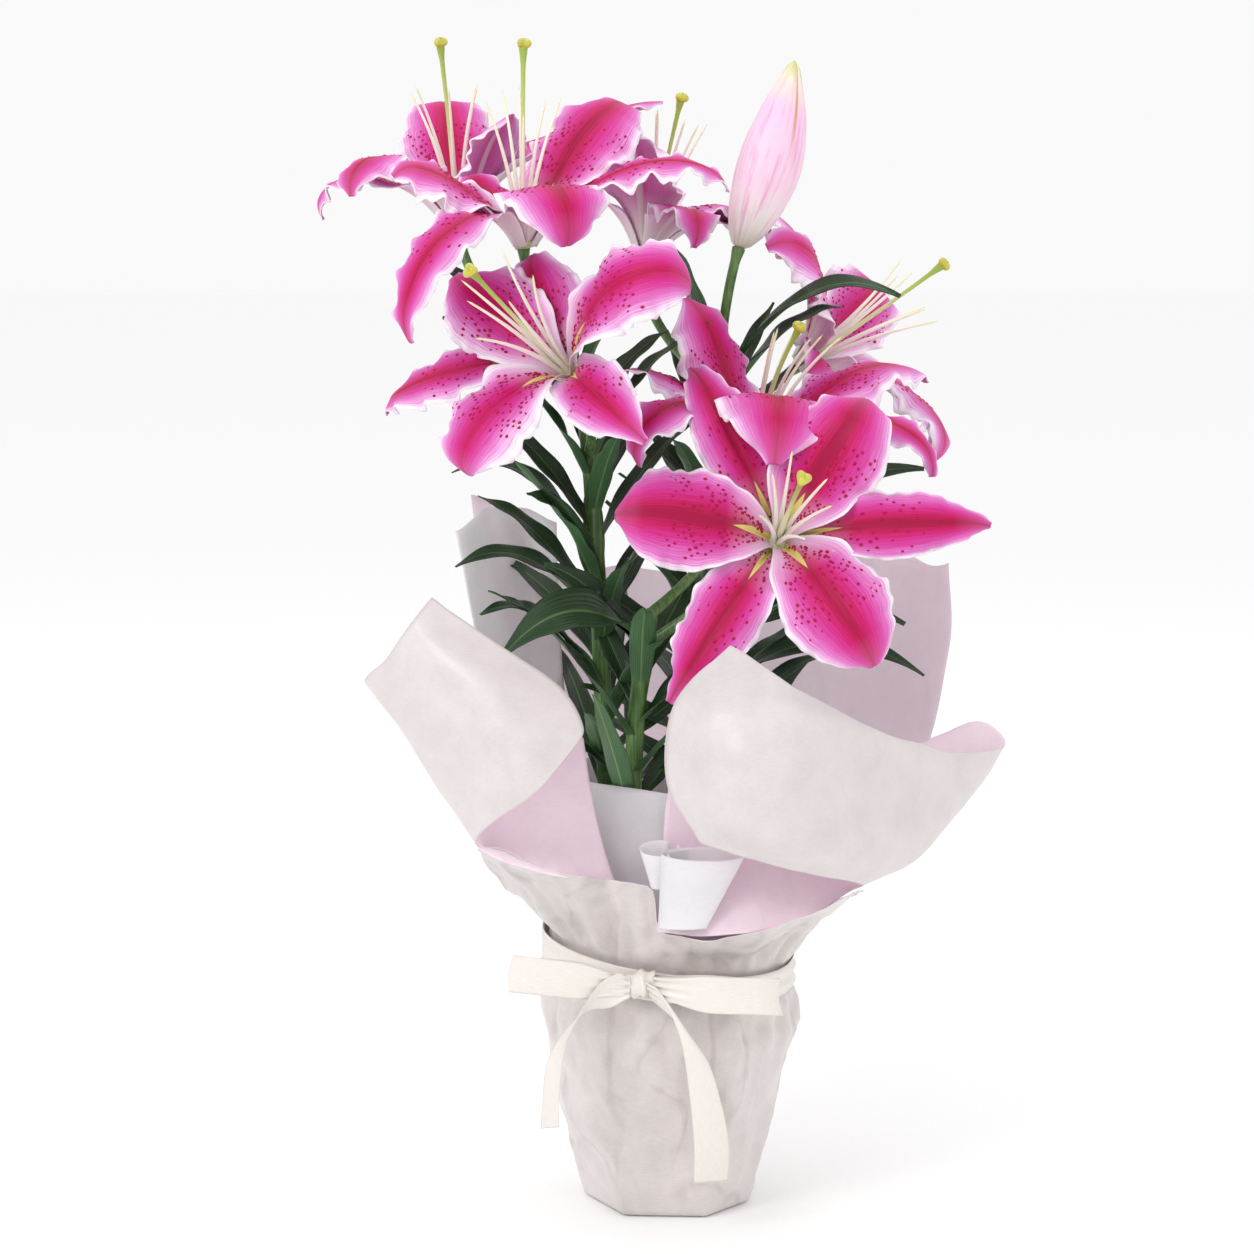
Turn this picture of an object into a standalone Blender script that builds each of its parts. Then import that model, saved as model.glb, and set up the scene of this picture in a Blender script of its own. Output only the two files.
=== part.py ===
"""Potted lily: seven open flowers and a bud on leafy stems, in a paper-wrapped pot tied with a ribbon.

Metres, +Z up. The origin is the middle of the flat bottom and the front faces -Y.
Angles are degrees. An azimuth runs from +X towards +Y.
"""

import math

import bmesh
import bpy
from mathutils import Matrix, Quaternion, Vector

GAP = 0.0003

# Pot, soil and wrap
POT_HEIGHT = 0.112
POT_BASE_RADIUS = 0.033
POT_TOP_RADIUS = 0.057
POT_WALL = 0.0015
SOIL_TOP = 0.103
SLEEVE = (0.118, 0.229)
SLEEVE_RADII = (0.0555, 0.0570)
PAPER = 0.0009
CORNERS = (27, 80, 130, 180, 238, 296, 342)
NECK_HEIGHT = 0.136
NECK_RADIUS = 0.0622
# Rim of the flare above the neck: azimuth, radius, height
FLARE = (
    (0, 0.080, 0.160), (40, 0.075, 0.158), (140, 0.075, 0.158), (180, 0.082, 0.164), (205, 0.106, 0.190),
    (222, 0.129, 0.201), (235, 0.0965, 0.182), (248, 0.074, 0.175), (264, 0.079, 0.158), (285, 0.091, 0.155),
    (305, 0.104, 0.159), (320, 0.122, 0.176), (336, 0.104, 0.172), (360, 0.080, 0.160),
)

# Ribbon
RIBBON_WIDTH = 0.019
RIBBON_THICKNESS = 0.0009

# Lilies
TEPAL = 0.001
CLAW_LEAN = 32
SEPAL_HUB = (0.0, 0.0022, 0.0060)
PETAL_HUB = (0.0025, 0.0047, 0.0044)
STAMEN_HUB = (0.0051, 0.0066, 0.0034)
PISTIL_START = 0.0076
FILAMENT_LENGTH = 0.076
# Share of the length, share of the half width
PETAL = (
    (0, 0.16), (0.12, 0.30), (0.3, 0.74), (0.5, 1.0), (0.68, 0.96), (0.85, 0.62), (0.95, 0.28), (1, 0.05),
)
SEPAL = ((0, 0.22), (0.15, 0.42), (0.35, 0.85), (0.5, 1.0), (0.7, 0.85), (0.85, 0.52), (1, 0.06))
LEAF = ((0, 0.45), (0.15, 0.8), (0.4, 1.0), (0.7, 0.75), (0.9, 0.3), (1, 0.06))

# Each lily: where its stalk ends, the way it faces, the middle of its stigma, then its three petals
# and its three sepals as (azimuth round the axis, length, width, spread, curl, where the curl starts).
LILIES = {
    "front_right": ((0.053, -0.066, 0.358), (0.04, -0.93, 0.36), (0.061, -0.155, 0.398), (
        (175, 0.096, 0.050, 68, 50, 0.4), (56, 0.092, 0.052, 54, 60, 0.4), (302, 0.094, 0.052, 68, 55, 0.4)), (
        (117, 0.104, 0.036, 80, 30, 0.4), (1, 0.112, 0.034, 80, 30, 0.4), (236, 0.108, 0.038, 90, 35, 0.4))),
    "front_left": ((-0.050, -0.052, 0.440), (-0.50, -0.66, 0.56), (-0.097, -0.117, 0.494), (
        (30, 0.116, 0.046, 56, 140, 0.4), (154, 0.080, 0.048, 54, 40, 0.4), (253, 0.090, 0.052, 66, 75, 0.4)), (
        (122, 0.070, 0.044, 70, 30, 0.4), (196, 0.120, 0.032, 90, 35, 0.4), (330, 0.088, 0.036, 80, 50, 0.4))),
    "top_left": ((-0.0745, -0.015, 0.502), (0.0, -0.25, 0.97), (-0.074, -0.020, 0.604), (
        (192, 0.080, 0.050, 50, 40, 0.4), (290, 0.106, 0.052, 50, 160, 0.4), (48, 0.106, 0.054, 44, 50, 0.4)), (
        (236, 0.138, 0.034, 98, 90, 0.4), (1, 0.122, 0.034, 62, 75, 0.4), (126, 0.058, 0.038, 62, 20, 0.4))),
    "back_left": ((-0.111, 0.060, 0.5095), (-0.08, 0.0, 1.0), (-0.120, 0.055, 0.607), (
        (222, 0.094, 0.048, 50, 130, 0.4), (316, 0.070, 0.040, 30, 30, 0.4), (95, 0.096, 0.050, 32, 40, 0.4)), (
        (176, 0.096, 0.036, 64, 110, 0.4), (8, 0.128, 0.036, 64, 15, 0.4), (48, 0.100, 0.034, 58, 40, 0.4))),
    "top_middle": ((-0.012, 0.088, 0.495), (0.22, 0.05, 0.97), (0.007, 0.088, 0.579), (
        (335, 0.072, 0.046, 48, 110, 0.4), (108, 0.090, 0.050, 42, 60, 0.4), (242, 0.088, 0.052, 36, 60, 0.4)), (
        (290, 0.086, 0.034, 66, 110, 0.4), (20, 0.108, 0.036, 76, 80, 0.4), (175, 0.090, 0.034, 64, 80, 0.4))),
    "middle_right": ((0.0447, 0.000, 0.391), (0.12, -0.20, 0.97), (0.066, -0.018, 0.462), (
        (273, 0.104, 0.058, 40, 160, 0.3), (22, 0.110, 0.050, 48, 80, 0.4), (146, 0.090, 0.050, 26, 30, 0.4)), (
        (226, 0.124, 0.036, 66, 120, 0.4), (328, 0.122, 0.032, 66, 80, 0.4), (178, 0.098, 0.032, 56, 70, 0.4))),
    "back_right": ((0.0696, 0.080, 0.4357), (0.80, -0.15, 0.55), (0.148, 0.082, 0.4906), (
        (15, 0.096, 0.048, 42, 80, 0.4), (128, 0.098, 0.050, 50, 110, 0.4), (255, 0.108, 0.048, 52, 80, 0.4)), (
        (72, 0.100, 0.034, 62, 80, 0.4), (188, 0.054, 0.032, 66, 90, 0.4), (308, 0.120, 0.036, 68, 60, 0.4))),
}
BUD = ((0.0363, 0.040, 0.4993), (0.066, 0.055, 0.5979))
BUD_RADIUS = 0.0175

# Each stem: its points from the soil up, then the lilies on it. Radii are millimetres.
STEMS = {
    "left": ((-0.028, 0.010), (-0.036, 0.002, 0.300), (-0.042, 0.000, 0.400), (-0.052, 0.002, 0.455)),
    "middle": ((-0.022, -0.030), (-0.018, -0.030, 0.250), (-0.010, -0.030, 0.320)),
    "right": ((0.022, 0.024), (0.024, 0.038, 0.300), (0.026, 0.052, 0.400), (0.027, 0.054, 0.440)),
}
STALKS = {
    "front_left": ("left", 0.395),
    "top_left": ("left", 0.452),
    "back_left": ("left", 0.452),
    "front_right": ("middle", 0.300),
    "middle_right": ("middle", 0.316),
    "top_middle": ("right", 0.425),
    "back_right": ("right", 0.395),
    "bud": ("right", 0.437),
}
STEM_RADII = (5.0, 4.6, 4.2, 3.6)
STALK_RADIUS = 2.6

# Leaves that show on their own: stem, height of the foot, tip, arch, width
LEAVES = (
    ("left", 0.425, (-0.131, -0.020, 0.501), 0.010, 0.014),
    ("left", 0.410, (-0.115, -0.030, 0.467), 0.012, 0.015),
    ("left", 0.345, (-0.111, -0.030, 0.389), 0.020, 0.014),
    ("left", 0.325, (-0.072, -0.050, 0.380), 0.012, 0.016),
    ("left", 0.305, (-0.109, -0.040, 0.342), 0.020, 0.014),
    ("left", 0.268, (-0.096, -0.050, 0.319), 0.020, 0.015),
    ("middle", 0.300, (-0.083, -0.080, 0.303), 0.020, 0.026),
    ("right", 0.425, (0.117, -0.012, 0.477), 0.026, 0.014),
    ("right", 0.410, (0.089, 0.016, 0.471), 0.014, 0.016),
    ("right", 0.330, (0.136, 0.050, 0.383), 0.016, 0.016),
    ("right", 0.300, (0.138, 0.000, 0.346), 0.018, 0.014),
    ("right", 0.285, (0.124, 0.020, 0.304), 0.020, 0.016),
    ("right", 0.265, (0.133, 0.000, 0.280), 0.022, 0.014),
    ("right", 0.415, (0.000, 0.030, 0.505), 0.010, 0.016),
)
# The other leaves follow a spiral up each stem: lowest, highest, how many, first azimuth
SPIRALS = {"left": (0.200, 0.430, 26, 200), "middle": (0.205, 0.292, 13, 250), "right": (0.200, 0.410, 24, 20)}
GOLDEN_ANGLE = 137.5
LEAF_TURN = 55
# Places in the spirals where a leaf would run into its neighbours
LEFT_OUT = {
    "left": {0, 1, 2, 3, 4, 6, 8, 9, 10, 11, 22},
    "middle": {0, 7},
    "right": {0, 4, 7, 9, 20, 23},
}

# Nets of points that the sheets pass through
LEFT_SHEET = (
    ((-0.027, -0.068, 0.184), (-0.056, -0.080, 0.190), (-0.081, -0.087, 0.199), (-0.097, -0.089, 0.209),
     (-0.087, -0.105, 0.224), (-0.067, -0.112, 0.240), (-0.043, -0.096, 0.266)),
    ((-0.034, -0.062, 0.203), (-0.056, -0.068, 0.207), (-0.086, -0.073, 0.217), (-0.113, -0.077, 0.230),
     (-0.094, -0.101, 0.247), (-0.074, -0.110, 0.265), (-0.052, -0.094, 0.280)),
    ((-0.040, -0.060, 0.230), (-0.063, -0.061, 0.235), (-0.099, -0.065, 0.246), (-0.132, -0.070, 0.259),
     (-0.114, -0.092, 0.276), (-0.094, -0.100, 0.291), (-0.073, -0.086, 0.300)),
    ((-0.044, -0.060, 0.257), (-0.071, -0.058, 0.264), (-0.111, -0.061, 0.274), (-0.152, -0.066, 0.286),
     (-0.141, -0.080, 0.302), (-0.130, -0.082, 0.317), (-0.119, -0.074, 0.331)),
)
RIGHT_SHEET = (
    ((-0.007, -0.079, 0.163), (0.025, -0.089, 0.162), (0.060, -0.086, 0.168), (0.089, -0.076, 0.182),
     (0.095, -0.086, 0.188), (0.073, -0.107, 0.197), (0.046, -0.117, 0.205), (0.014, -0.115, 0.214)),
    ((-0.005, -0.072, 0.181), (0.026, -0.077, 0.181), (0.065, -0.071, 0.184), (0.109, -0.058, 0.190),
     (0.122, -0.068, 0.196), (0.093, -0.108, 0.210), (0.047, -0.134, 0.221), (-0.002, -0.112, 0.241)),
    ((-0.004, -0.068, 0.199), (0.028, -0.067, 0.199), (0.076, -0.055, 0.201), (0.126, -0.040, 0.208),
     (0.142, -0.050, 0.212), (0.108, -0.092, 0.229), (0.047, -0.134, 0.256), (-0.002, -0.110, 0.274)),
    ((-0.003, -0.066, 0.219), (0.035, -0.058, 0.217), (0.092, -0.036, 0.221), (0.151, -0.014, 0.230),
     (0.161, -0.030, 0.231), (0.125, -0.072, 0.246), (0.072, -0.118, 0.275), (0.009, -0.116, 0.296)),
    ((-0.001, -0.065, 0.234), (0.040, -0.052, 0.234), (0.104, -0.016, 0.235), (0.160, 0.000, 0.255),
     (0.173, -0.018, 0.246), (0.136, -0.058, 0.251), (0.087, -0.098, 0.275), (0.028, -0.120, 0.314)),
)
BACK_SHEET = (
    ((-0.052, 0.030, 0.139), (-0.030, 0.052, 0.139), (0.000, 0.060, 0.139), (0.030, 0.052, 0.139),
     (0.052, 0.030, 0.139)),
    ((-0.0545, 0.0315, 0.158), (-0.0315, 0.0545, 0.158), (0.000, 0.063, 0.158), (0.0315, 0.0545, 0.158),
     (0.0545, 0.0315, 0.158)),
    ((-0.090, 0.046, 0.205), (-0.059, 0.080, 0.204), (0.013, 0.096, 0.201), (0.089, 0.072, 0.206),
     (0.126, 0.024, 0.215)),
    ((-0.095, 0.046, 0.281), (-0.059, 0.088, 0.281), (0.013, 0.104, 0.278), (0.105, 0.085, 0.281),
     (0.149, 0.035, 0.288)),
    ((-0.105, 0.046, 0.364), (-0.059, 0.088, 0.330), (0.013, 0.108, 0.317), (0.111, 0.090, 0.333),
     (0.150, 0.050, 0.335)),
)
WHITE_SHEET = (
    ((-0.086, 0.020, 0.232), (-0.072, 0.044, 0.230), (-0.053, 0.058, 0.231)),
    ((-0.100, 0.020, 0.290), (-0.082, 0.048, 0.292), (-0.058, 0.066, 0.290)),
    ((-0.112, 0.020, 0.354), (-0.090, 0.048, 0.364), (-0.060, 0.066, 0.354)),
)
FRONT_ROLL = (
    ((-0.012, -0.086, 0.166), (-0.006, -0.094, 0.165), (0.014, -0.098, 0.166), (0.034, -0.094, 0.168)),
    ((-0.013, -0.082, 0.184), (-0.008, -0.092, 0.183), (0.017, -0.098, 0.184), (0.038, -0.092, 0.184)),
    ((-0.014, -0.080, 0.202), (-0.010, -0.090, 0.203), (0.017, -0.096, 0.204), (0.040, -0.090, 0.200)),
)

# Ribbon runs: points down the middle, and the way the ribbon's width points at each end
KNOT = Vector((-0.0154, -0.0735, 0.1335))
LEFT_LOOP = ((-0.022, -0.0790, 0.1335), (-0.045, -0.0870, 0.1380), (-0.070, -0.0880, 0.1410),
             (-0.0815, -0.0820, 0.1415), (-0.071, -0.0770, 0.1405), (-0.046, -0.0760, 0.1380),
             (-0.0225, -0.0720, 0.1340))
RIGHT_LOOP = ((-0.009, -0.0790, 0.1335), (0.016, -0.0890, 0.1320), (0.042, -0.0880, 0.1310),
              (0.0545, -0.0810, 0.1300), (0.043, -0.0765, 0.1310), (0.018, -0.0770, 0.1320),
              (-0.0085, -0.0720, 0.1335))
LEFT_TAIL = ((-0.0225, -0.0785, 0.1170), (-0.0400, -0.0850, 0.1120), (-0.0560, -0.0860, 0.0930),
             (-0.0630, -0.0780, 0.0480))
RIGHT_TAIL = ((-0.0085, -0.0785, 0.1170), (0.0080, -0.0850, 0.1020), (0.0180, -0.0820, 0.0680),
              (0.0220, -0.0700, 0.0250))


# ---------------------------------------------------------------- modelling helpers


def clear_scene():
    for obj in list(bpy.data.objects):
        bpy.data.objects.remove(obj, do_unlink=True)


def principled(name, colour, roughness):
    material = bpy.data.materials.new(name)
    material.use_nodes = True
    shader = material.node_tree.nodes["Principled BSDF"]
    shader.inputs["Base Color"].default_value = (*colour, 1)
    shader.inputs["Roughness"].default_value = roughness
    shader.inputs["Metallic"].default_value = 0
    material.diffuse_color = (*colour, 1)
    return material


def add(name, mesh, material):
    """A node: a mesh object in the plant's collection, with a material of its own."""
    obj = bpy.data.objects.new(name, mesh)
    NODES.objects.link(obj)
    obj.data.materials.append(principled(name, *material))
    return obj


def surface(name, along, across, place, thickness=0.0):
    """A grid laid through place(u, v), with u and v from 0 to 1. Given a thickness, it is a closed sheet."""
    bm = bmesh.new()
    bmesh.ops.create_grid(bm, x_segments=along, y_segments=across, size=0.5)
    for vert in bm.verts:
        vert.co = place(vert.co.x + 0.5, vert.co.y + 0.5)
    bmesh.ops.remove_doubles(bm, verts=bm.verts, dist=1e-6)
    if thickness:
        bmesh.ops.recalc_face_normals(bm, faces=bm.faces)
        bmesh.ops.solidify(bm, geom=bm.faces[:], thickness=thickness)
    bmesh.ops.recalc_face_normals(bm, faces=bm.faces)
    mesh = bpy.data.meshes.new(name)
    bm.to_mesh(mesh)
    bm.free()
    return mesh


def cylinder(name, low, high, radius, matrix, sides=12):
    bm = bmesh.new()
    bmesh.ops.create_cone(bm, cap_ends=True, segments=sides, radius1=radius, radius2=radius, depth=high - low)
    bmesh.ops.transform(bm, verts=bm.verts, matrix=matrix @ Matrix.Translation((0, 0, (low + high) / 2)))
    mesh = bpy.data.meshes.new(name)
    bm.to_mesh(mesh)
    bm.free()
    return mesh


def tubes(name, routes, resolution=1):
    """Round bars as one curve made a mesh. Each route is its points, then a radius in mm for each."""
    curve = bpy.data.curves.new(name, "CURVE")
    curve.dimensions = "3D"
    curve.bevel_depth = 0.001
    curve.bevel_resolution = resolution
    curve.use_fill_caps = True
    for points, radii in routes:
        spline = curve.splines.new("POLY")
        spline.points.add(len(points) - 1)
        for point, place, radius in zip(spline.points, points, radii):
            point.co = (*place, 1)
            point.radius = radius
    obj = bpy.data.objects.new(name, curve)
    bpy.context.scene.collection.objects.link(obj)
    mesh = bpy.data.meshes.new_from_object(obj.evaluated_get(bpy.context.evaluated_depsgraph_get()))
    bpy.data.objects.remove(obj)
    bm = bmesh.new()
    bm.from_mesh(mesh)
    bmesh.ops.remove_doubles(bm, verts=bm.verts, dist=1e-6)
    bmesh.ops.recalc_face_normals(bm, faces=bm.faces)
    bm.to_mesh(mesh)
    bm.free()
    return mesh


def turned(name, profile, material, steps=32):
    """A closed half profile of (radius, height) points turned about Z."""
    mesh = bpy.data.meshes.new(name)
    bm = bmesh.new()
    verts = [bm.verts.new((radius, 0, height)) for radius, height in profile]
    for first, second in zip(verts, verts[1:]):
        bm.edges.new((first, second))
    bm.to_mesh(mesh)
    bm.free()
    obj = add(name, mesh, material)
    screw = obj.modifiers.new("Screw", "SCREW")
    screw.steps = steps
    screw.render_steps = steps
    screw.use_merge_vertices = True
    screw.merge_threshold = 0.00001
    return obj


def join(obj, meshes):
    """Unites the meshes with the object, so that the node is one body."""
    group = bpy.data.collections.new(f"{obj.name} parts")
    HELPERS.children.link(group)
    for index, mesh in enumerate(meshes):
        helper = bpy.data.objects.new(f"{obj.name}_part_{index}", mesh)
        helper.hide_render = True
        helper.display_type = "WIRE"
        group.objects.link(helper)
    union = obj.modifiers.new("Union", "BOOLEAN")
    union.operation = "UNION"
    union.solver = "EXACT"
    union.operand_type = "COLLECTION"
    union.collection = group


def read_off(table, share):
    """The value that a table of (share, value) rows gives at this share, in straight steps."""
    for (low, first), (high, second) in zip(table, table[1:]):
        if share <= high:
            return first + (second - first) * (share - low) / (high - low)
    return table[-1][1]


def eased(table, share):
    """As read_off, but with no corner at the rows."""
    for (low, first), (high, second) in zip(table, table[1:]):
        if share <= high:
            return first + (second - first) * smooth((share - low) / (high - low))
    return table[-1][1]


def smooth(share):
    share = min(max(share, 0), 1)
    return share * share * (3 - 2 * share)


def through(points, share):
    """A smooth line through the points, from its start at 0 to its end at 1."""
    points = [Vector(point) for point in points]
    place = share * (len(points) - 1)
    index = min(int(place), len(points) - 2)
    t = place - index
    start, end = points[index], points[index + 1]
    before = points[index - 1] if index else 2 * start - end
    after = points[index + 2] if index + 2 < len(points) else 2 * end - start
    return 0.5 * (
        2 * start
        + (end - before) * t
        + (2 * before - 5 * start + 4 * end - after) * t**2
        + (3 * start - before - 3 * end + after) * t**3
    )


def bend(start, control, end, share):
    return start * (1 - share) ** 2 + control * (2 * share * (1 - share)) + end * share**2


def facing(place, axis):
    """A frame at the place: Z along the axis, Y as near up as it can be, X to the right."""
    z = Vector(axis).normalized()
    y = Vector((0, 0, 1)) if abs(z.z) < 0.9 else Vector((0, 1, 0))
    y = (y - z * y.dot(z)).normalized()
    x = y.cross(z)
    matrix = Matrix((x, y, z)).transposed().to_4x4()
    matrix.translation = place
    return matrix


# ---------------------------------------------------------------- lilies


def tepal(matrix, foot, outline, azimuth, length, width, spread, curl, fold):
    """A petal or a sepal as a function of (u, v). It leans out from the axis, opens, then curls back."""
    steps = 40
    frame = matrix @ Matrix.Rotation(math.radians(azimuth), 4, "Z")

    def lean(u):
        opened = CLAW_LEAN + (spread - CLAW_LEAN) * smooth(u / 0.45)
        return math.radians(opened + curl * max(0, (u - fold) / (1 - fold)) ** 1.4)

    line = [(foot[0], foot[1])]
    for step in range(steps):
        angle = lean((step + 0.5) / steps)
        out, up = line[-1]
        line.append((out + math.sin(angle) * length / steps, up + math.cos(angle) * length / steps))

    def place(u, v):
        out, up = line[round(u * steps)]
        angle = lean(u)
        side = (2 * v - 1) * read_off(outline, u) * width / 2
        lift = (0.5 - 0.6 * smooth(u / 0.6)) * abs(2 * v - 1) * abs(side)
        return frame @ Vector((out - math.cos(angle) * lift, side, up + math.sin(angle) * lift))

    return place


def whorl(name, matrix, hub, outline, tepals, material):
    low, high, radius = hub
    obj = add(name, cylinder(name, low, high, radius, matrix), material)
    foot = (radius - 0.0008, (low + high) / 2)
    blades = [
        surface(f"{name}_{index}", 8, 2, tepal(matrix, foot, outline, *shape), TEPAL)
        for index, shape in enumerate(tepals)
    ]
    join(obj, blades)


def stamens(name, matrix, target, material):
    """Six bare filaments on a small hub, leaning with the style."""
    low, high, radius = STAMEN_HUB
    obj = add(name, cylinder(name, low, high, radius, matrix), material)
    lean = matrix.inverted() @ Vector(target)
    routes = []
    for index in range(6):
        turn = Matrix.Rotation(math.radians(30 + 60 * index), 4, "Z")
        start = turn @ Vector((radius - 0.0006, 0, (low + high) / 2))
        control = turn @ Vector((0.007, 0, 0.040))
        end = turn @ Vector((0.019, 0, 0)) + lean * (FILAMENT_LENGTH / lean.length)
        points = [matrix @ bend(start, control, end, step / 4) for step in range(5)]
        routes.append((points, (0.9, 0.9, 0.8, 0.7, 0.5)))
    join(obj, [tubes(f"{name}_filaments", routes, 0)])


def pistil(name, matrix, target, material):
    start = matrix @ Vector((0, 0, PISTIL_START))
    end = Vector(target)
    control = matrix @ Vector((0, 0, PISTIL_START + 0.5 * (end - start).length))
    shares = (0, 0.25, 0.5, 0.75, 0.93, 0.96, 1.0, 1.03)
    radii = (1.3, 1.3, 1.2, 1.3, 1.5, 3.0, 3.6, 1.6)
    points = [bend(start, control, end, share) for share in shares]
    add(name, tubes(name, [(points, radii)]), material)


def lilies():
    for name, (place, axis, stigma, petals, sepals) in LILIES.items():
        matrix = facing(place, axis)
        whorl(f"{name}_sepals", matrix, SEPAL_HUB, SEPAL, sepals, PINK)
        whorl(f"{name}_petals", matrix, PETAL_HUB, PETAL, petals, DEEP_PINK)
        stamens(f"{name}_stamens", matrix, stigma, PALE_GREEN)
        pistil(f"{name}_pistil", matrix, stigma, YELLOW_GREEN)


def bud():
    base, tip = (Vector(point) for point in BUD)
    base = base + (tip - base).normalized() * GAP
    shares = (0, 0.06, 0.2, 0.4, 0.55, 0.75, 0.9, 1.0)
    radii = (0.30, 0.52, 0.82, 1.0, 0.96, 0.66, 0.30, 0.08)
    points = [base.lerp(tip, share) for share in shares]
    add("bud", tubes("bud", [(points, [radius * BUD_RADIUS * 1000 for radius in radii])], 2), PALE_PINK)


# ---------------------------------------------------------------- stems and leaves


def stem_points(stem):
    (x, y), *rest = STEMS[stem]
    return [Vector((x, y, SOIL_TOP + 0.0005)), *(Vector(point) for point in rest)]


def on_stem(stem, height):
    points = stem_points(stem)
    for low, high in zip(points, points[1:]):
        if height <= high.z:
            return low.lerp(high, (height - low.z) / (high.z - low.z))
    return points[-1]


def leaf(foot, tip, arch, width):
    """A long leaf from the stem to its tip, lifted by its arch, folded a little and turned to the light in front."""
    tip = Vector(tip)
    control = (foot + tip) / 2 + Vector((0, 0, 2 * arch))
    turn = math.radians(LEAF_TURN) * (tip - foot).normalized().x

    def place(u, v):
        centre = bend(foot, control, tip, u)
        ahead = (bend(foot, control, tip, u + 0.01) - bend(foot, control, tip, u - 0.01)).normalized()
        across = ahead.cross(Vector((0, 0, 1))).normalized()
        across.rotate(Quaternion(ahead, turn * smooth(2 * u)))
        side = (2 * v - 1) * read_off(LEAF, u) * width / 2
        return centre + across * side + across.cross(ahead) * (0.2 * abs(side))

    return place


def spiral_leaves(stem):
    """The foot, tip, arch and width of each leaf of the stem's spiral."""
    low, high, count, first = SPIRALS[stem]
    for index in range(count):
        if index in LEFT_OUT[stem]:
            continue
        share = index / (count - 1)
        azimuth = math.radians(first + GOLDEN_ANGLE * index)
        rise = math.radians(38 + 12 * share)
        length = 0.085 - 0.015 * share
        foot = on_stem(stem, low + (high - low) * share)
        reach = Vector((math.cos(azimuth) * math.cos(rise), math.sin(azimuth) * math.cos(rise), math.sin(rise)))
        yield foot, foot + reach * length, 0.010, 0.015


def stalk(name):
    """The flower stalk as a route: out of its stem, then straight into the back of its flower."""
    stem, height = STALKS[name]
    start = on_stem(stem, height)
    if name == "bud":
        end, ahead = Vector(BUD[0]), Vector(BUD[1])
        axis = (ahead - end).normalized()
    else:
        end, axis = Vector(LILIES[name][0]), Vector(LILIES[name][1]).normalized()
    end = end - axis * GAP
    control = end - axis * 0.4 * (end - start).length
    points = [bend(start, control, end, step / 6) for step in range(6)]
    points += [end - axis * 0.002, end]
    return points, (STALK_RADIUS,) * 6 + (STALK_RADIUS + 0.4,) * 2


def stems():
    for stem in STEMS:
        name = f"stem_{stem}"
        points = stem_points(stem)
        obj = add(name, tubes(name, [(points, STEM_RADII[: len(points)])], 2), GREEN)
        stalks = [tubes(f"{lily}_stalk", [stalk(lily)]) for lily, (owner, _) in STALKS.items() if owner == stem]
        shapes = [(on_stem(stem, height), tip, arch, width)
                  for owner, height, tip, arch, width in LEAVES if owner == stem]
        shapes += spiral_leaves(stem)
        blades = [surface(f"{name}_leaf_{index}", 4, 2, leaf(*shape), TEPAL) for index, shape in enumerate(shapes)]
        join(obj, stalks + blades)


# ---------------------------------------------------------------- pot, paper and ribbon


def pot_radius(height):
    return POT_BASE_RADIUS + (POT_TOP_RADIUS - POT_BASE_RADIUS) * height / POT_HEIGHT


def pot():
    low = PAPER + GAP
    floor = low + POT_WALL
    turned("nursery_pot", (
        (0, floor), (POT_BASE_RADIUS - POT_WALL, floor), (POT_TOP_RADIUS - POT_WALL, POT_HEIGHT),
        (POT_TOP_RADIUS, POT_HEIGHT), (pot_radius(0), low), (0, low)), TERRACOTTA)
    soil_low = floor + GAP
    inset = POT_WALL + 3 * GAP
    turned("soil", (
        (0, SOIL_TOP), (pot_radius(SOIL_TOP) - inset, SOIL_TOP), (pot_radius(0) - inset, soil_low),
        (0, soil_low)), BROWN)


def corner_radius(azimuth, radius):
    """The radius of the wrap's flat-sided bottom, whose corners lie at CORNERS."""
    corners = (*CORNERS, CORNERS[0] + 360)
    for first, second in zip(corners, corners[1:]):
        turned_to = azimuth + 360 if azimuth < first else azimuth
        if first <= turned_to <= second:
            half = math.radians(second - first) / 2
            middle = math.radians((first + second) / 2)
            return radius * math.cos(half) / math.cos(math.radians(turned_to) - middle)
    return radius


def pot_cover():
    """The wrap: a flat bottom with corners, a round belly, the tied neck and the flare above it.

    The thickness goes outwards and down, so the inside stands one sheet above the ground, and the underside
    is pressed flat.
    """
    heights = (0.0, 0.0, 0.030, 0.070, 0.106, 0.120, NECK_HEIGHT, 0.152)
    radii = (0.0, 0.0435, 0.051, 0.061, 0.0675, 0.0645, NECK_RADIUS, 0.0645)
    squareness = (0, 1.0, 0.8, 0.4, 0.15, 0, 0, 0)
    rim_steps = 3
    count = len(heights) - 1 + rim_steps

    def place(u, v):
        row = round(u * count)
        azimuth = v * 360 % 360
        angle = math.radians(azimuth)
        body = min(row, len(heights) - 1)
        flat = corner_radius(azimuth, radii[body])
        radius = radii[body] + (flat - radii[body]) * squareness[body]
        height = heights[body]
        if row > body:
            share = (row - body) / rim_steps
            radius += (eased([(at, out) for at, out, _ in FLARE], azimuth) - radius) * share**1.2
            height += (eased([(at, up) for at, _, up in FLARE], azimuth) - height) * share**0.9
        return Vector((radius * math.cos(angle), radius * math.sin(angle), height + PAPER))

    mesh = surface("pot_cover", count, 40, place, PAPER)
    for vert in mesh.vertices:
        if vert.co.z < PAPER / 2:
            vert.co.z = 0
    add("pot_cover", mesh, BEIGE)


def net(name, points, along, across, material):
    def place(u, v):
        return through([through(row, v) for row in points], u)

    add(name, surface(name, along, across, place, PAPER), material)


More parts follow.
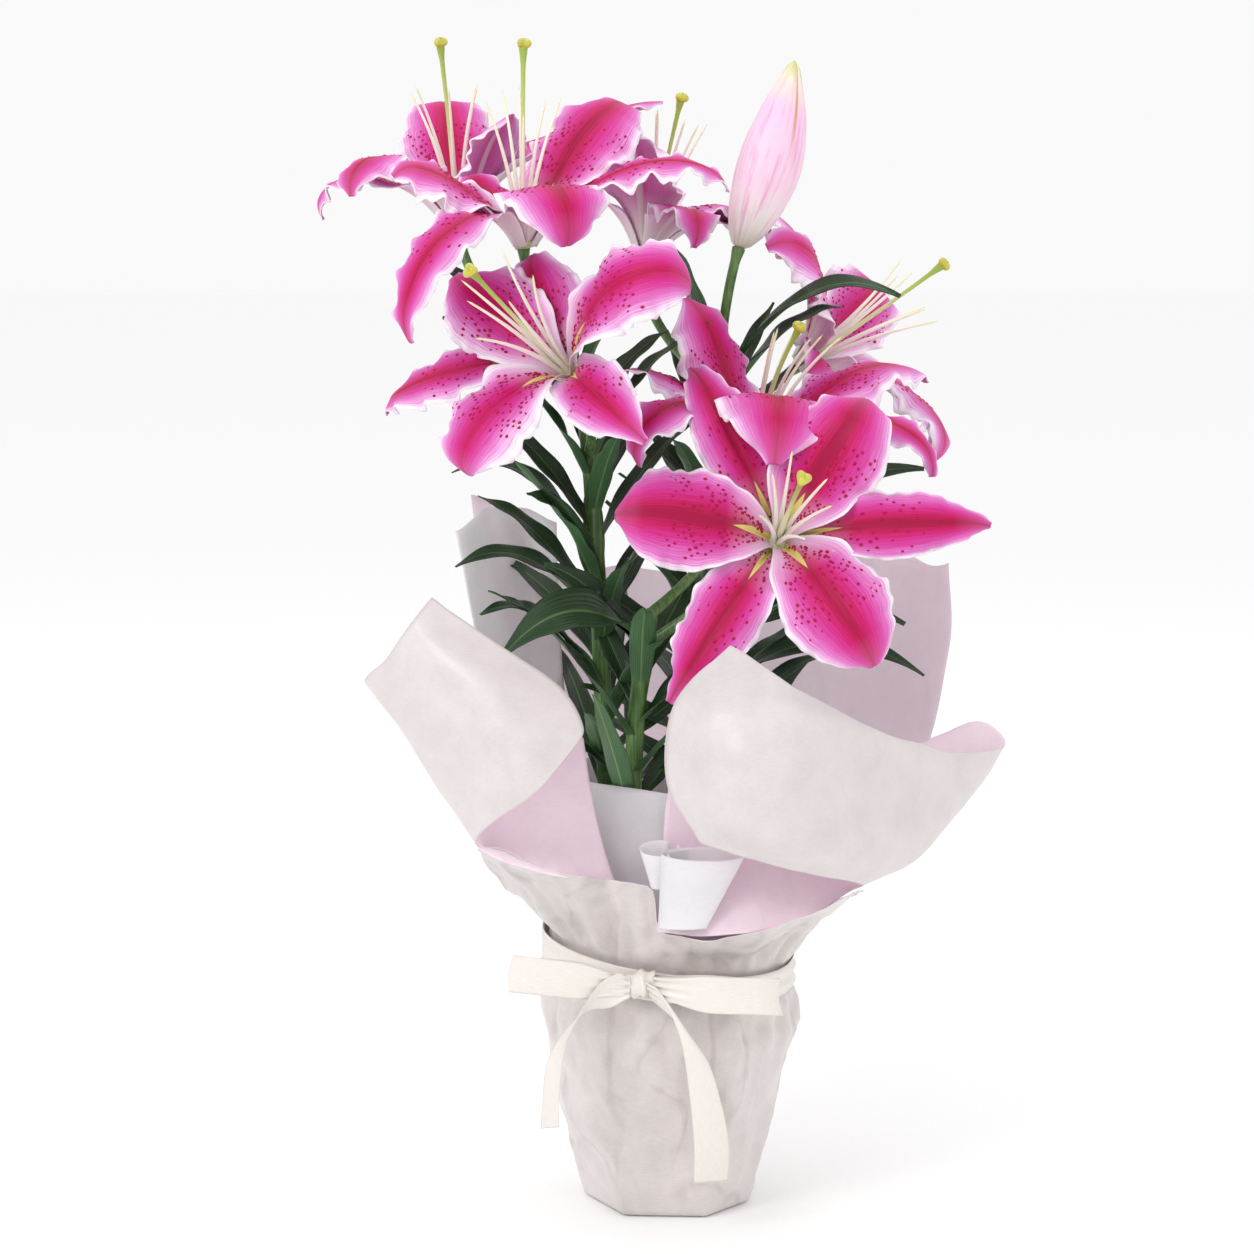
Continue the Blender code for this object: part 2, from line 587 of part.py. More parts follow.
def papers():
    pot_cover()
    low, high = SLEEVE
    inner, outer = SLEEVE_RADII
    turned("inner_sleeve", (
        (inner, low), (inner - PAPER, low), (outer - PAPER, high), (outer, high), (inner, low)), WHITE)
    net("left_wing", LEFT_SHEET, 8, 14, BEIGE)
    net("right_wing", RIGHT_SHEET, 10, 16, BEIGE)
    net("back_sheet", BACK_SHEET, 8, 12, PALE_PINK)
    net("white_sheet", WHITE_SHEET, 5, 5, WHITE)
    net("front_roll", FRONT_ROLL, 4, 8, WHITE)


def strip(name, points, first, last, steps):
    """A length of ribbon whose width turns from the first direction to the last."""
    first = Vector(first).normalized()
    last = Vector(last).normalized()

    def place(u, v):
        return through(points, u) + first.slerp(last, u) * (v - 0.5) * RIBBON_WIDTH

    add(name, surface(name, steps, 1, place, RIBBON_THICKNESS), IVORY)


def ribbon():
    radius = NECK_RADIUS + 0.0046
    half = RIBBON_WIDTH / 2

    def band(u, v):
        angle = u * math.tau
        tilt = 0.136 - 0.005 * math.cos(angle) - half * 0.6
        return Vector((radius * math.cos(angle), radius * math.sin(angle), tilt + v * half * 1.2))

    add("ribbon_band", surface("ribbon_band", 40, 1, band, RIBBON_THICKNESS), IVORY)
    add("ribbon_knot", cylinder("ribbon_knot", -0.0045, 0.0045, 0.0055, Matrix.Translation(KNOT), 16), IVORY)
    strip("left_loop", LEFT_LOOP, (0.05, 0, 1), (0.05, 0, 1), 18)
    strip("right_loop", RIGHT_LOOP, (-0.05, 0, 1), (-0.05, 0, 1), 18)
    strip("left_tail", LEFT_TAIL, (0.5, 0.2, 0.8), (0.8, -0.5, 0.1), 10)
    strip("right_tail", RIGHT_TAIL, (-0.5, 0.2, 0.8), (-0.8, -0.6, -0.1), 10)


# ---------------------------------------------------------------- the plant

GREEN = ((0.09, 0.20, 0.06), 0.5)
PINK = ((0.72, 0.16, 0.36), 0.45)
DEEP_PINK = ((0.62, 0.07, 0.24), 0.45)
PALE_PINK = ((0.85, 0.62, 0.72), 0.5)
PALE_GREEN = ((0.72, 0.80, 0.55), 0.5)
YELLOW_GREEN = ((0.62, 0.66, 0.20), 0.4)
TERRACOTTA = ((0.35, 0.12, 0.06), 0.6)
BROWN = ((0.06, 0.035, 0.02), 0.95)
BEIGE = ((0.78, 0.72, 0.66), 0.7)
WHITE = ((0.86, 0.86, 0.88), 0.7)
IVORY = ((0.86, 0.82, 0.72), 0.35)

clear_scene()
NODES = bpy.data.collections.new("potted_lily")
HELPERS = bpy.data.collections.new("helpers")
HELPERS.hide_render = True
bpy.context.scene.collection.children.link(NODES)
bpy.context.scene.collection.children.link(HELPERS)
pot()
stems()
lilies()
bud()
papers()
ribbon()
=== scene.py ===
"""The looks of the potted lily: the finish of every petal, leaf, sheet of paper and length of ribbon.

Metres, unless a table says otherwise, +Z up, and the front faces -Y. The tables' angles are degrees, and an
azimuth runs from +X towards +Y.
"""

import math
import random

import bmesh
import bpy
from mathutils import Matrix, Quaternion, Vector, noise


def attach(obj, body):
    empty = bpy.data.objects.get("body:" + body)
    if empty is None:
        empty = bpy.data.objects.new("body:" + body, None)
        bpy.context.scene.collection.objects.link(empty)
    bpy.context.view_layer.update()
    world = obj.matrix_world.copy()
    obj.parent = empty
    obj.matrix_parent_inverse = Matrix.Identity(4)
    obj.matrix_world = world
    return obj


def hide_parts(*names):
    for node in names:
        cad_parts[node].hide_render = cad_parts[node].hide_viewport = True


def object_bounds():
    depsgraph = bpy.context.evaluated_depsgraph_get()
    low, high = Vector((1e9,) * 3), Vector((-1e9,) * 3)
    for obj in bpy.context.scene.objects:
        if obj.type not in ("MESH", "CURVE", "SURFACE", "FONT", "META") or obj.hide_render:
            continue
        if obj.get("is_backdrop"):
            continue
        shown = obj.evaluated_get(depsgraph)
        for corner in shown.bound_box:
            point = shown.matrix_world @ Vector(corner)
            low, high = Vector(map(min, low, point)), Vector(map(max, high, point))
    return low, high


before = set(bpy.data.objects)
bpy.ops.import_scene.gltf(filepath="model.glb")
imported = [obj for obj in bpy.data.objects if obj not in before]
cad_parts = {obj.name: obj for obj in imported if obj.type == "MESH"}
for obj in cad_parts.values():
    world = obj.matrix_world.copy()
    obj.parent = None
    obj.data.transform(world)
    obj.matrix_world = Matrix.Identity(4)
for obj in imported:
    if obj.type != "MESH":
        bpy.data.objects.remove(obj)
cad_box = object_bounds()
draw = random.Random(7)


def metres(table):
    """A table of millimetres as the same table of metres."""
    return tuple(metres(row) if isinstance(row, tuple) else row / 1000 for row in table)


# Pot, soil and wrap
POT_HEIGHT = 0.112
POT_BASE_RADIUS = 0.033
POT_TOP_RADIUS = 0.057
POT_WALL = 0.0015
SOIL_TOP = 0.103
SLEEVE = (0.118, 0.229)
SLEEVE_RADII = (0.0555, 0.0570)
PAPER = 0.0009
CORNERS = (27, 80, 130, 180, 238, 296, 342)
NECK_HEIGHT = 0.136
NECK_RADIUS = 0.0622
# Rim of the flare above the neck: azimuth, radius, height
FLARE = (
    (0, 0.080, 0.160), (40, 0.075, 0.158), (140, 0.075, 0.158), (180, 0.082, 0.164), (205, 0.106, 0.196),
    (222, 0.126, 0.208), (235, 0.0965, 0.192), (248, 0.078, 0.187), (261, 0.077, 0.184), (268, 0.081, 0.160),
    (285, 0.091, 0.163), (305, 0.105, 0.168), (320, 0.123, 0.182), (336, 0.104, 0.173), (360, 0.080, 0.160),
)

# Ribbon
RIBBON_WIDTH = 0.019

# Lilies
CLAW_LEAN = 32
SEPAL_HUB = (0.0, 0.0022, 0.0060)
PETAL_HUB = (0.0025, 0.0047, 0.0044)
PISTIL_START = 0.0076
FILAMENT_LENGTH = 0.076
# Share of the length, share of the half width
PETAL = (
    (0, 0.16), (0.12, 0.30), (0.3, 0.74), (0.5, 1.0), (0.68, 0.98), (0.85, 0.72), (0.94, 0.40), (1, 0.05),
)
SEPAL = ((0, 0.22), (0.15, 0.42), (0.35, 0.85), (0.5, 1.0), (0.7, 0.85), (0.85, 0.52), (1, 0.06))
LEAF = ((0, 0.45), (0.15, 0.8), (0.4, 1.0), (0.7, 0.75), (0.9, 0.3), (1, 0.06))

# Each lily, in millimetres and degrees: where its stalk ends, the way it faces, the middle of its stigma,
# then its three petals and its three sepals as (azimuth, length, width, spread, curl). A sixth number says
# at what share of the length the curl starts, when that isn't CURL_START.
CURL_START = 0.4
LILIES = {
    "front_right": ((53, -66, 358), (0.04, -0.93, 0.36), (61, -155, 398), (
        (175, 96, 50, 68, 50), (56, 92, 52, 54, 60), (302, 94, 52, 68, 55)), (
        (117, 104, 36, 80, 30), (1, 112, 34, 80, 30), (236, 108, 38, 90, 35))),
    "front_left": ((-50, -52, 440), (-0.50, -0.66, 0.56), (-97, -117, 494), (
        (30, 116, 46, 56, 140), (154, 80, 48, 54, 40), (253, 90, 52, 66, 75)), (
        (122, 70, 44, 70, 30), (196, 120, 32, 90, 35), (330, 88, 36, 80, 50))),
    "top_left": ((-74.5, -15, 502), (0.0, -0.25, 0.97), (-74, -20, 604), (
        (192, 80, 50, 50, 40), (290, 106, 52, 50, 160), (48, 106, 54, 44, 50)), (
        (236, 138, 34, 98, 90), (1, 122, 34, 62, 75), (126, 58, 38, 62, 20))),
    "back_left": ((-111, 60, 509.5), (-0.08, 0.0, 1.0), (-120, 55, 607), (
        (222, 94, 48, 50, 130), (316, 70, 40, 30, 30), (95, 96, 50, 32, 40)), (
        (176, 96, 36, 64, 110), (8, 128, 36, 64, 15), (48, 100, 34, 58, 40))),
    "top_middle": ((-12, 88, 495), (0.22, 0.05, 0.97), (7, 88, 579), (
        (335, 72, 46, 48, 110), (108, 90, 50, 42, 60), (242, 88, 52, 36, 60)), (
        (290, 86, 34, 66, 110), (20, 108, 36, 76, 80), (175, 90, 34, 64, 80))),
    "middle_right": ((44.7, 0, 391), (0.12, -0.20, 0.97), (66, -18, 462), (
        (273, 122, 58, 42, 132, 0.3), (22, 110, 50, 48, 80), (146, 90, 50, 26, 30)), (
        (226, 124, 36, 66, 120), (328, 122, 32, 66, 80), (178, 98, 32, 56, 70))),
    "back_right": ((69.6, 80, 435.7), (0.80, -0.15, 0.55), (148, 82, 490.6), (
        (15, 96, 48, 42, 80), (128, 98, 50, 50, 110), (255, 108, 48, 52, 80)), (
        (72, 100, 34, 62, 80), (188, 54, 32, 66, 90), (308, 120, 36, 68, 60))),
}
BUD = metres(((36.3, 40, 499.3), (66, 55, 597.9)))
BUD_RADIUS = 0.0175

# Each stem's points from the soil up, in millimetres
STEMS = {
    "left": ((-28, 10), (-36, 2, 300), (-42, 0, 400), (-52, 2, 455)),
    "middle": ((-22, -30), (-18, -30, 250), (-10, -30, 320)),
    "right": ((22, 24), (24, 38, 300), (26, 52, 400), (27, 54, 440)),
}
# Each stalk: its stem, and the height in metres at which it leaves it
STALKS = {
    "front_left": ("left", 0.395),
    "top_left": ("left", 0.452),
    "back_left": ("left", 0.452),
    "front_right": ("middle", 0.300),
    "middle_right": ("middle", 0.316),
    "top_middle": ("right", 0.425),
    "back_right": ("right", 0.395),
    "bud": ("right", 0.437),
}
# In millimetres: a stem's radius at each of its points, and a stalk's
STEM_RADII = (5.0, 4.6, 4.2, 3.6)
STALK_RADIUS = 2.6

# Leaves that show on their own, in millimetres: stem, height of the foot, tip, arch, width
LEAVES = (
    ("left", 425, (-131, -20, 501), 10, 14),
    ("left", 410, (-115, -30, 467), 12, 15),
    ("left", 345, (-111, -30, 389), 20, 14),
    ("left", 325, (-72, -50, 380), 12, 16),
    ("left", 305, (-109, -40, 342), 20, 14),
    ("left", 268, (-96, -50, 319), 20, 15),
    ("middle", 300, (-83, -80, 303), 20, 26),
    ("right", 425, (117, -12, 477), 26, 14),
    ("right", 410, (89, 16, 471), 14, 16),
    ("right", 330, (136, 50, 383), 16, 16),
    ("right", 300, (138, 0, 346), 18, 14),
    ("right", 285, (124, 20, 304), 20, 16),
    ("right", 265, (133, 0, 280), 22, 14),
    ("right", 415, (0, 30, 505), 10, 16),
)
# The other leaves follow a spiral up each stem: lowest, highest, how many, first azimuth
SPIRALS = {
    "left": (0.200, 0.430, 28, 200),
    "middle": (0.205, 0.292, 11, 250),
    "right": (0.200, 0.410, 30, 20),
}
GOLDEN_ANGLE = 137.5
GOLDEN_SHARE = 0.618
LEAF_TURN = 55

# Nets of points that the sheets pass through, in millimetres
LEFT_SHEET = metres((
    ((-27, -68, 184), (-56, -80, 190), (-81, -87, 199), (-97, -89, 209), (-87, -105, 224), (-67, -112, 240),
     (-50, -105, 258)),
    ((-34, -62, 203), (-56, -68, 207), (-86, -73, 217), (-113, -77, 230), (-94, -101, 247),
     (-74, -110, 265), (-43.7, -98, 270)),
    ((-40, -60, 230), (-63, -61, 235), (-99, -65, 246), (-132, -70, 259), (-114, -92, 276),
     (-94, -100, 291), (-61.1, -88, 293.4)),
    ((-44, -60, 257), (-71, -58, 264), (-111, -61, 274), (-152, -66, 286), (-141, -80, 302),
     (-130, -82, 317), (-119, -74, 331)),
))
RIGHT_SHEET = metres((
    ((-7, -79, 163), (25, -89, 162), (60, -86, 168), (89, -76, 182), (95, -86, 188), (73, -107, 197),
     (46, -117, 205), (14, -115, 214)),
    ((-5, -72, 181), (26, -77, 181), (65, -71, 184), (109, -58, 190), (122, -68, 196), (93, -108, 210),
     (47, -134, 221), (-2, -112, 241)),
    ((-4, -68, 199), (28, -67, 199), (76, -55, 201), (126, -40, 208), (142, -50, 212), (108, -92, 229),
     (47, -134, 256), (-2, -110, 274)),
    ((-3, -66, 219), (35, -58, 217), (92, -36, 221), (151, -14, 230), (161, -30, 231), (125, -72, 246),
     (72, -118, 275), (9, -116, 296)),
    ((-1, -65, 234), (40, -52, 234), (104, -16, 235), (160, 0, 255), (173, -18, 246), (136, -58, 251),
     (87, -98, 275), (28, -120, 314)),
))
BACK_SHEET = metres((
    ((-52, 30, 139), (-30, 52, 139), (0, 60, 139), (30, 52, 139), (52, 30, 139)),
    ((-54.5, 31.5, 158), (-31.5, 54.5, 158), (0, 63, 158), (31.5, 54.5, 158), (54.5, 31.5, 158)),
    ((-90, 46, 205), (-59, 80, 204), (13, 96, 201), (89, 72, 206), (126, 24, 215)),
    ((-95, 46, 281), (-59, 88, 281), (13, 104, 278), (105, 85, 281), (149, 35, 288)),
    ((-105, 46, 364), (-59, 88, 330), (13, 108, 317), (111, 90, 333), (150, 50, 335)),
))
WHITE_SHEET = metres((
    ((-86, 20, 232), (-72, 44, 230), (-53, 58, 231)),
    ((-100, 20, 290), (-82, 48, 292), (-58, 66, 290)),
    ((-112, 20, 354), (-90, 48, 364), (-60, 66, 354)),
))

# The middle of the knot, and points down the middle of each run of ribbon, in millimetres
KNOT = Vector(metres((-15.4, -73.5, 133.5)))
LEFT_LOOP = metres((
    (-22, -79, 133.5), (-45, -87, 138), (-70, -88, 141), (-81.5, -82, 141), (-71, -75.5, 138.5),
    (-46, -74.5, 136), (-22.5, -72, 133.5),
))
RIGHT_LOOP = metres((
    (-9, -79, 133.5), (16, -89, 132), (42, -88, 131), (54.5, -80, 128.5), (43, -74, 127), (18, -74.5, 129),
    (-8.5, -72, 133),
))
LEFT_TAIL = metres((
    (-20.5, -79.5, 133), (-29.5, -81.5, 131.5), (-40.6, -84, 125.9), (-55.7, -86, 102.7),
    (-59.9, -83, 75.9), (-61.1, -78, 59.8),
))
RIGHT_TAIL = metres((
    (-11.4, -79.5, 132), (0.6, -83, 122.5), (11.8, -84, 102.1), (18, -81, 75.3), (21.2, -77, 50.6),
    (20.8, -73, 29.9),
))


# ---------------------------------------------------------------- mesh helpers

MERGE_GAP = 2e-6
TINT_SPREAD = 0.4


def read_off(table, share):
    """The value that a table of (share, value) rows gives at this share, in straight steps."""
    for (low, first), (high, second) in zip(table, table[1:]):
        if share <= high:
            return first + (second - first) * (share - low) / (high - low)
    return table[-1][1]


def soft_read(table, share, reach=0.05):
    """As read_off, with the corners rounded off."""
    shares = [min(max(share + reach * step / 2, 0), 1) for step in (-2, -1, 0, 1, 2)]
    return sum(read_off(table, near) for near in shares) / len(shares)


def smooth(share):
    """Eases from 0 to 1 with no corner at either end, and stays there beyond them."""
    share = min(max(share, 0), 1)
    return share * share * (3 - 2 * share)


def eased(table, share):
    """As read_off, but with no corner at the rows."""
    for (low, first), (high, second) in zip(table, table[1:]):
        if share <= high:
            return first + (second - first) * smooth((share - low) / (high - low))
    return table[-1][1]


def through(points, share):
    """A smooth line through the points, from its start at 0 to its end at 1."""
    points = [Vector(point) for point in points]
    place = share * (len(points) - 1)
    index = min(max(int(place), 0), len(points) - 2)
    t = place - index
    start, end = points[index], points[index + 1]
    before = points[index - 1] if index else 2 * start - end
    after = points[index + 2] if index + 2 < len(points) else 2 * end - start
    return 0.5 * (
        2 * start
        + (end - before) * t
        + (2 * before - 5 * start + 4 * end - after) * t**2
        + (3 * start - before - 3 * end + after) * t**3
    )


def bend(start, control, end, share):
    """A point on the curve from the start to the end that leans towards the control point."""
    return start * (1 - share) ** 2 + control * (2 * share * (1 - share)) + end * share**2


def facing(place, axis):
    """A frame at the place: Z along the axis, Y as near up as it can be, X to the right."""
    z = Vector(axis).normalized()
    y = Vector((0, 0, 1)) if abs(z.z) < 0.9 else Vector((0, 1, 0))
    y = (y - z * y.dot(z)).normalized()
    x = y.cross(z)
    matrix = Matrix((x, y, z)).transposed().to_4x4()
    matrix.translation = place
    return matrix


def polar(radius, azimuth, height):
    """A point this far from the upright axis. The azimuth is in radians here."""
    return Vector((radius * math.cos(azimuth), radius * math.sin(azimuth), height))


def patch(bm, along, across, place, size=(1, 1), slot=0, paleness=0.0):
    """Lays a grid through place(u, v), with u and v from 0 to 1. Its UV map runs from 0 to the size, and its
    faces share one tint, drawn at random above the paleness."""
    uv = bm.loops.layers.uv.get("UVMap") or bm.loops.layers.uv.new("UVMap")
    tint = bm.faces.layers.float.get("tint") or bm.faces.layers.float.new("tint")
    verts = bmesh.ops.create_grid(bm, x_segments=along, y_segments=across, size=0.5)["verts"]
    shade = TINT_SPREAD * draw.random() + paleness
    for face in {face for vert in verts for face in vert.link_faces}:
        face.material_index = slot
        face.smooth = True
        face[tint] = shade
        for loop in face.loops:
            loop[uv].uv = ((loop.vert.co.x + 0.5) * size[0], (loop.vert.co.y + 0.5) * size[1])
    for vert in verts:
        vert.co = place(vert.co.x + 0.5, vert.co.y + 0.5)
    return verts


def tube(bm, line, radius, along, around, slot=0):
    """A round bar along line(u), with radius(u). It closes where its radius is nothing."""
    across = (line(1) - line(0)).orthogonal()

    def place(u, v):
        ahead = (line(u + 0.01) - line(u - 0.01)).normalized()
        side = ahead.cross(across).normalized()
        angle = v * math.tau
        return line(u) + (side * math.cos(angle) - ahead.cross(side) * math.sin(angle)) * radius(u)

    return patch(bm, along, around, place, slot=slot)


def crumple(verts, size, depth, pinned=lambda place: 1):
    """Creases a sheet into facets about this far across, moved along the sheet's own normal."""
    offset = Vector((draw.uniform(0, 50), draw.uniform(0, 50), draw.uniform(0, 50)))
    for vert in verts:
        vert.normal_update()
    moves = []
    for vert in verts:
        place = vert.co / size + offset
        near, next_near = noise.voronoi(place)[0][:2]
        ridge = 1 - abs(noise.noise(place * 0.8 + offset)) * 2.2
        moves.append(vert.normal * depth * (0.9 * ridge + 1.1 * (next_near - near) - 0.9) * pinned(vert.co))
    for vert, move in zip(verts, moves):
        vert.co += move


def piece(name, bm, materials, slot, nodes, thickness=0.0, merge=True):
    """Makes the mesh a piece that rides with the plant and stands for the nodes. A sheet gets its thickness
    behind its face, and its second material there."""
    if merge:
        bmesh.ops.remove_doubles(bm, verts=bm.verts, dist=MERGE_GAP)
    if not thickness:
        bmesh.ops.recalc_face_normals(bm, faces=bm.faces)
    mesh = bpy.data.meshes.new(name)
    bm.to_mesh(mesh)
    bm.free()
    obj = bpy.data.objects.new(name, mesh)
    bpy.context.scene.collection.objects.link(obj)
    for material in materials:
        mesh.materials.append(material)
    if thickness:
        shell = obj.modifiers.new("Thickness", "SOLIDIFY")
        shell.thickness = thickness
        shell.offset = -1
        shell.material_offset = 1
        shell.material_offset_rim = 0
    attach(obj, "root")
    if nodes:
        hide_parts(*nodes)
    return obj


# ---------------------------------------------------------------- materials


def linear(colour):
    """An sRGB hex colour as linear RGBA."""
    shares = [int(colour[place : place + 2], 16) / 255 for place in (1, 3, 5)]
    return (*(share / 12.92 if share <= 0.04045 else ((share + 0.055) / 1.055) ** 2.4 for share in shares), 1)


def node(tree, kind, inputs=None, stops=(), **settings):
    """Adds a node. A socket among its inputs is linked, and so is a node, by its first output in use. A hex
    colour is turned to linear, and any other value is set. Stops fill its ramp."""
    made = tree.nodes.new(f"ShaderNode{kind}")
    for setting, value in settings.items():
        setattr(made, setting, value)
    for socket, value in (inputs or {}).items():
        if isinstance(value, bpy.types.Node):
            value = next(output for output in value.outputs if output.enabled)
        if isinstance(value, bpy.types.NodeSocket):
            tree.links.new(value, made.inputs[socket])
        else:
            made.inputs[socket].default_value = linear(value) if isinstance(value, str) else value
    for index, (place, colour) in enumerate(stops):
        ramp = made.color_ramp.elements
        stop = ramp[index] if index < len(ramp) and index < 2 else ramp.new(place)
        stop.position = place
        stop.color = linear(colour)
    return made


def material(name, roughness, **constants):
    """A new material with its shader's constant values set. Returns it and its node tree."""
    made = bpy.data.materials.new(name)
    made.use_nodes = True
    shader = made.node_tree.nodes["Principled BSDF"]
    shader.inputs["Roughness"].default_value = roughness
    for socket, value in constants.items():
        shader.inputs[socket.replace("_", " ")].default_value = value
    return made, made.node_tree


def covered(made, colour, bump=None):
    """Links a material's colour and relief to its shader, and returns the material."""
    tree = made.node_tree
    shader = tree.nodes["Principled BSDF"]
    for source, socket in ((colour, "Base Color"), (bump, "Normal")):
        if source:
            tree.links.new(next(output for output in source.outputs if output.enabled), shader.inputs[socket])
    return made


# Light goes a little way into a tepal.
TISSUE = {"Subsurface_Weight": 0.06, "Subsurface_Scale": 0.002, "Subsurface_Radius": (1.0, 0.3, 0.6)}


def blade_places(tree):
    """Along a blade from its foot, away from its midrib, and its streaks, which run along it."""
    uv = node(tree, "UVMap", uv_map="UVMap")
    split = node(tree, "SeparateXYZ", {0: uv})
    spread = node(tree, "Math", {0: split.outputs[1], 1: 2.0, 2: -1.0}, operation="MULTIPLY_ADD")
    away = node(tree, "Math", {0: spread}, operation="ABSOLUTE")
    # Cell rows on a tepal are about half a millimetre wide, and their streaks some centimetres long.
    drawn = node(tree, "Mapping", {0: uv, 3: (2.6, 80, 1)})
    streaks = node(tree, "TexNoise", {0: drawn, "Scale": 1.0, "Detail": 4.0, "Roughness": 0.65})
    return split.outputs[0], away, streaks


def tepal_face():
    """Living lily tissue, inner face: crimson midrib through rose to a white margin, with a satin gleam."""
    made, tree = material("lily_tepal_grown", 0.45, Specular_IOR_Level=0.22, **TISSUE)
    along, away, streaks = blade_places(tree)
    tint = node(tree, "Attribute", attribute_name="tint")
    shifted = node(tree, "MapRange", {0: streaks, 1: 0.25, 2: 0.75, 3: -0.19, 4: 0.19})
    tinted = node(tree, "MapRange", {0: tint.outputs["Fac"], 3: -0.10, 4: 0.12})
    place = node(tree, "Math", {0: away, 1: shifted}, operation="ADD")
    place = node(tree, "Math", {0: place, 1: tinted}, operation="ADD")
    field = node(tree, "ValToRGB", {0: place}, stops=(
        (0.0, "#a00440"), (1.0, "#f6e8f6"), (0.07, "#b4064a"), (0.26, "#c41870"), (0.48, "#cb3c97"),
        (0.70, "#d670ba"), (0.87, "#e6aedc")))
    # The margin stays white where the streaks are dark, so it follows the edge and not the streaks.
    margin = node(tree, "MapRange", {0: away, 1: 0.90, 2: 0.97, 3: 0.0, 4: 1.0})
    throat = node(tree, "MapRange", {0: along, 1: 0.10, 2: 0.36, 3: 0.9, 4: 0.0})
    sides = node(tree, "MapRange", {0: away, 1: 0.10, 2: 0.65, 3: 0.25, 4: 1.0})
    throat = node(tree, "Math", {0: throat, 1: sides}, operation="MULTIPLY")
    tip = node(tree, "MapRange", {0: along, 1: 0.80, 2: 1.0, 3: 0.0, 4: 0.35})
    # The nectary is a yellow-green wedge along the midrib, which narrows to nothing a third of the way up.
    wedge = node(tree, "MapRange", {0: along, 1: 0.02, 2: 0.34, 3: 0.34, 4: -0.03})
    nectary = node(tree, "Math", {0: wedge, 1: away}, operation="SUBTRACT")
    nectary = node(tree, "MapRange", {0: nectary, 1: 0.0, 2: 0.02, 3: 0.0, 4: 1.0})
    for mask, colour in ((margin, "#fbf3fa"), (throat, "#eccfe6"), (tip, "#d880bf"), (nectary, "#e2d67e")):
        field = node(tree, "Mix", {0: mask, 6: field, 7: colour}, data_type="RGBA")
    bump = node(tree, "Bump", {"Height": streaks, "Strength": 0.35, "Distance": 0.0006})
    return covered(made, field, bump)


def tepal_back():
    """Living lily tissue, outer face: lilac-white with rose veins and a dull midrib, duller than inside."""
    made, tree = material("lily_tepal_back_grown", 0.5, Specular_IOR_Level=0.3, **TISSUE)
    along, away, streaks = blade_places(tree)
    shifted = node(tree, "MapRange", {0: streaks, 1: 0.25, 2: 0.75, 3: -0.3, 4: 0.3})
    place = node(tree, "Math", {0: away, 1: shifted}, operation="ADD")
    field = node(tree, "ValToRGB", {0: place}, stops=(
        (0.0, "#b03a82"), (1.0, "#f1e0f0"), (0.25, "#be4f98"), (0.6, "#cb70b0"), (0.85, "#dca4d2")))
    rib = node(tree, "MapRange", {0: away, 1: 0.05, 2: 0.11, 3: 0.6, 4: 0.0})
    foot = node(tree, "MapRange", {0: along, 1: 0.08, 2: 0.40, 3: 0.8, 4: 0.0})
    for mask, colour in ((rib, "#cdb3bc"), (foot, "#eae6e0")):
        field = node(tree, "Mix", {0: mask, 6: field, 7: colour}, data_type="RGBA")
    bump = node(tree, "Bump", {"Height": streaks, "Strength": 0.35, "Distance": 0.0006})
    return covered(made, field, bump)


def run_of_colour(name, roughness, stops):
    """A slender grown part whose colour changes from its foot to its tip, with fine streaks along it."""
    made, tree = material(name, roughness, Subsurface_Weight=0.15, Subsurface_Scale=0.001)
    uv = node(tree, "UVMap", uv_map="UVMap")
    split = node(tree, "SeparateXYZ", {0: uv})
    drawn = node(tree, "Mapping", {0: uv, 3: (3, 5, 1)})
    streaks = node(tree, "TexNoise", {0: drawn, "Scale": 1.0, "Detail": 3.0})
    shifted = node(tree, "MapRange", {0: streaks, 1: 0.25, 2: 0.75, 3: -0.08, 4: 0.08})
    place = node(tree, "Math", {0: split.outputs[0], 1: shifted}, operation="ADD")
    field = node(tree, "ValToRGB", {0: place}, stops=stops)
    bump = node(tree, "Bump", {"Height": streaks, "Strength": 0.3, "Distance": 0.0004})
    return covered(made, field, bump)


def filament_skin():
    """Living filament: smooth, moist and nearly white, greener at the foot and cream at the tip."""
    return run_of_colour("lily_filament_grown", 0.35, (
        (0.0, "#dfe8c8"), (1.0, "#e6e3b0"), (0.3, "#f2f1e8"), (0.8, "#f0eeda")))


def style_skin():
    """Living style: pale at its foot, leaf green below the stigma, with a soft shine."""
    return run_of_colour("lily_style_grown", 0.32, (
        (0.0, "#eef0dc"), (1.0, "#8fa83c"), (0.35, "#dfe6b8"), (0.75, "#a9bd55")))


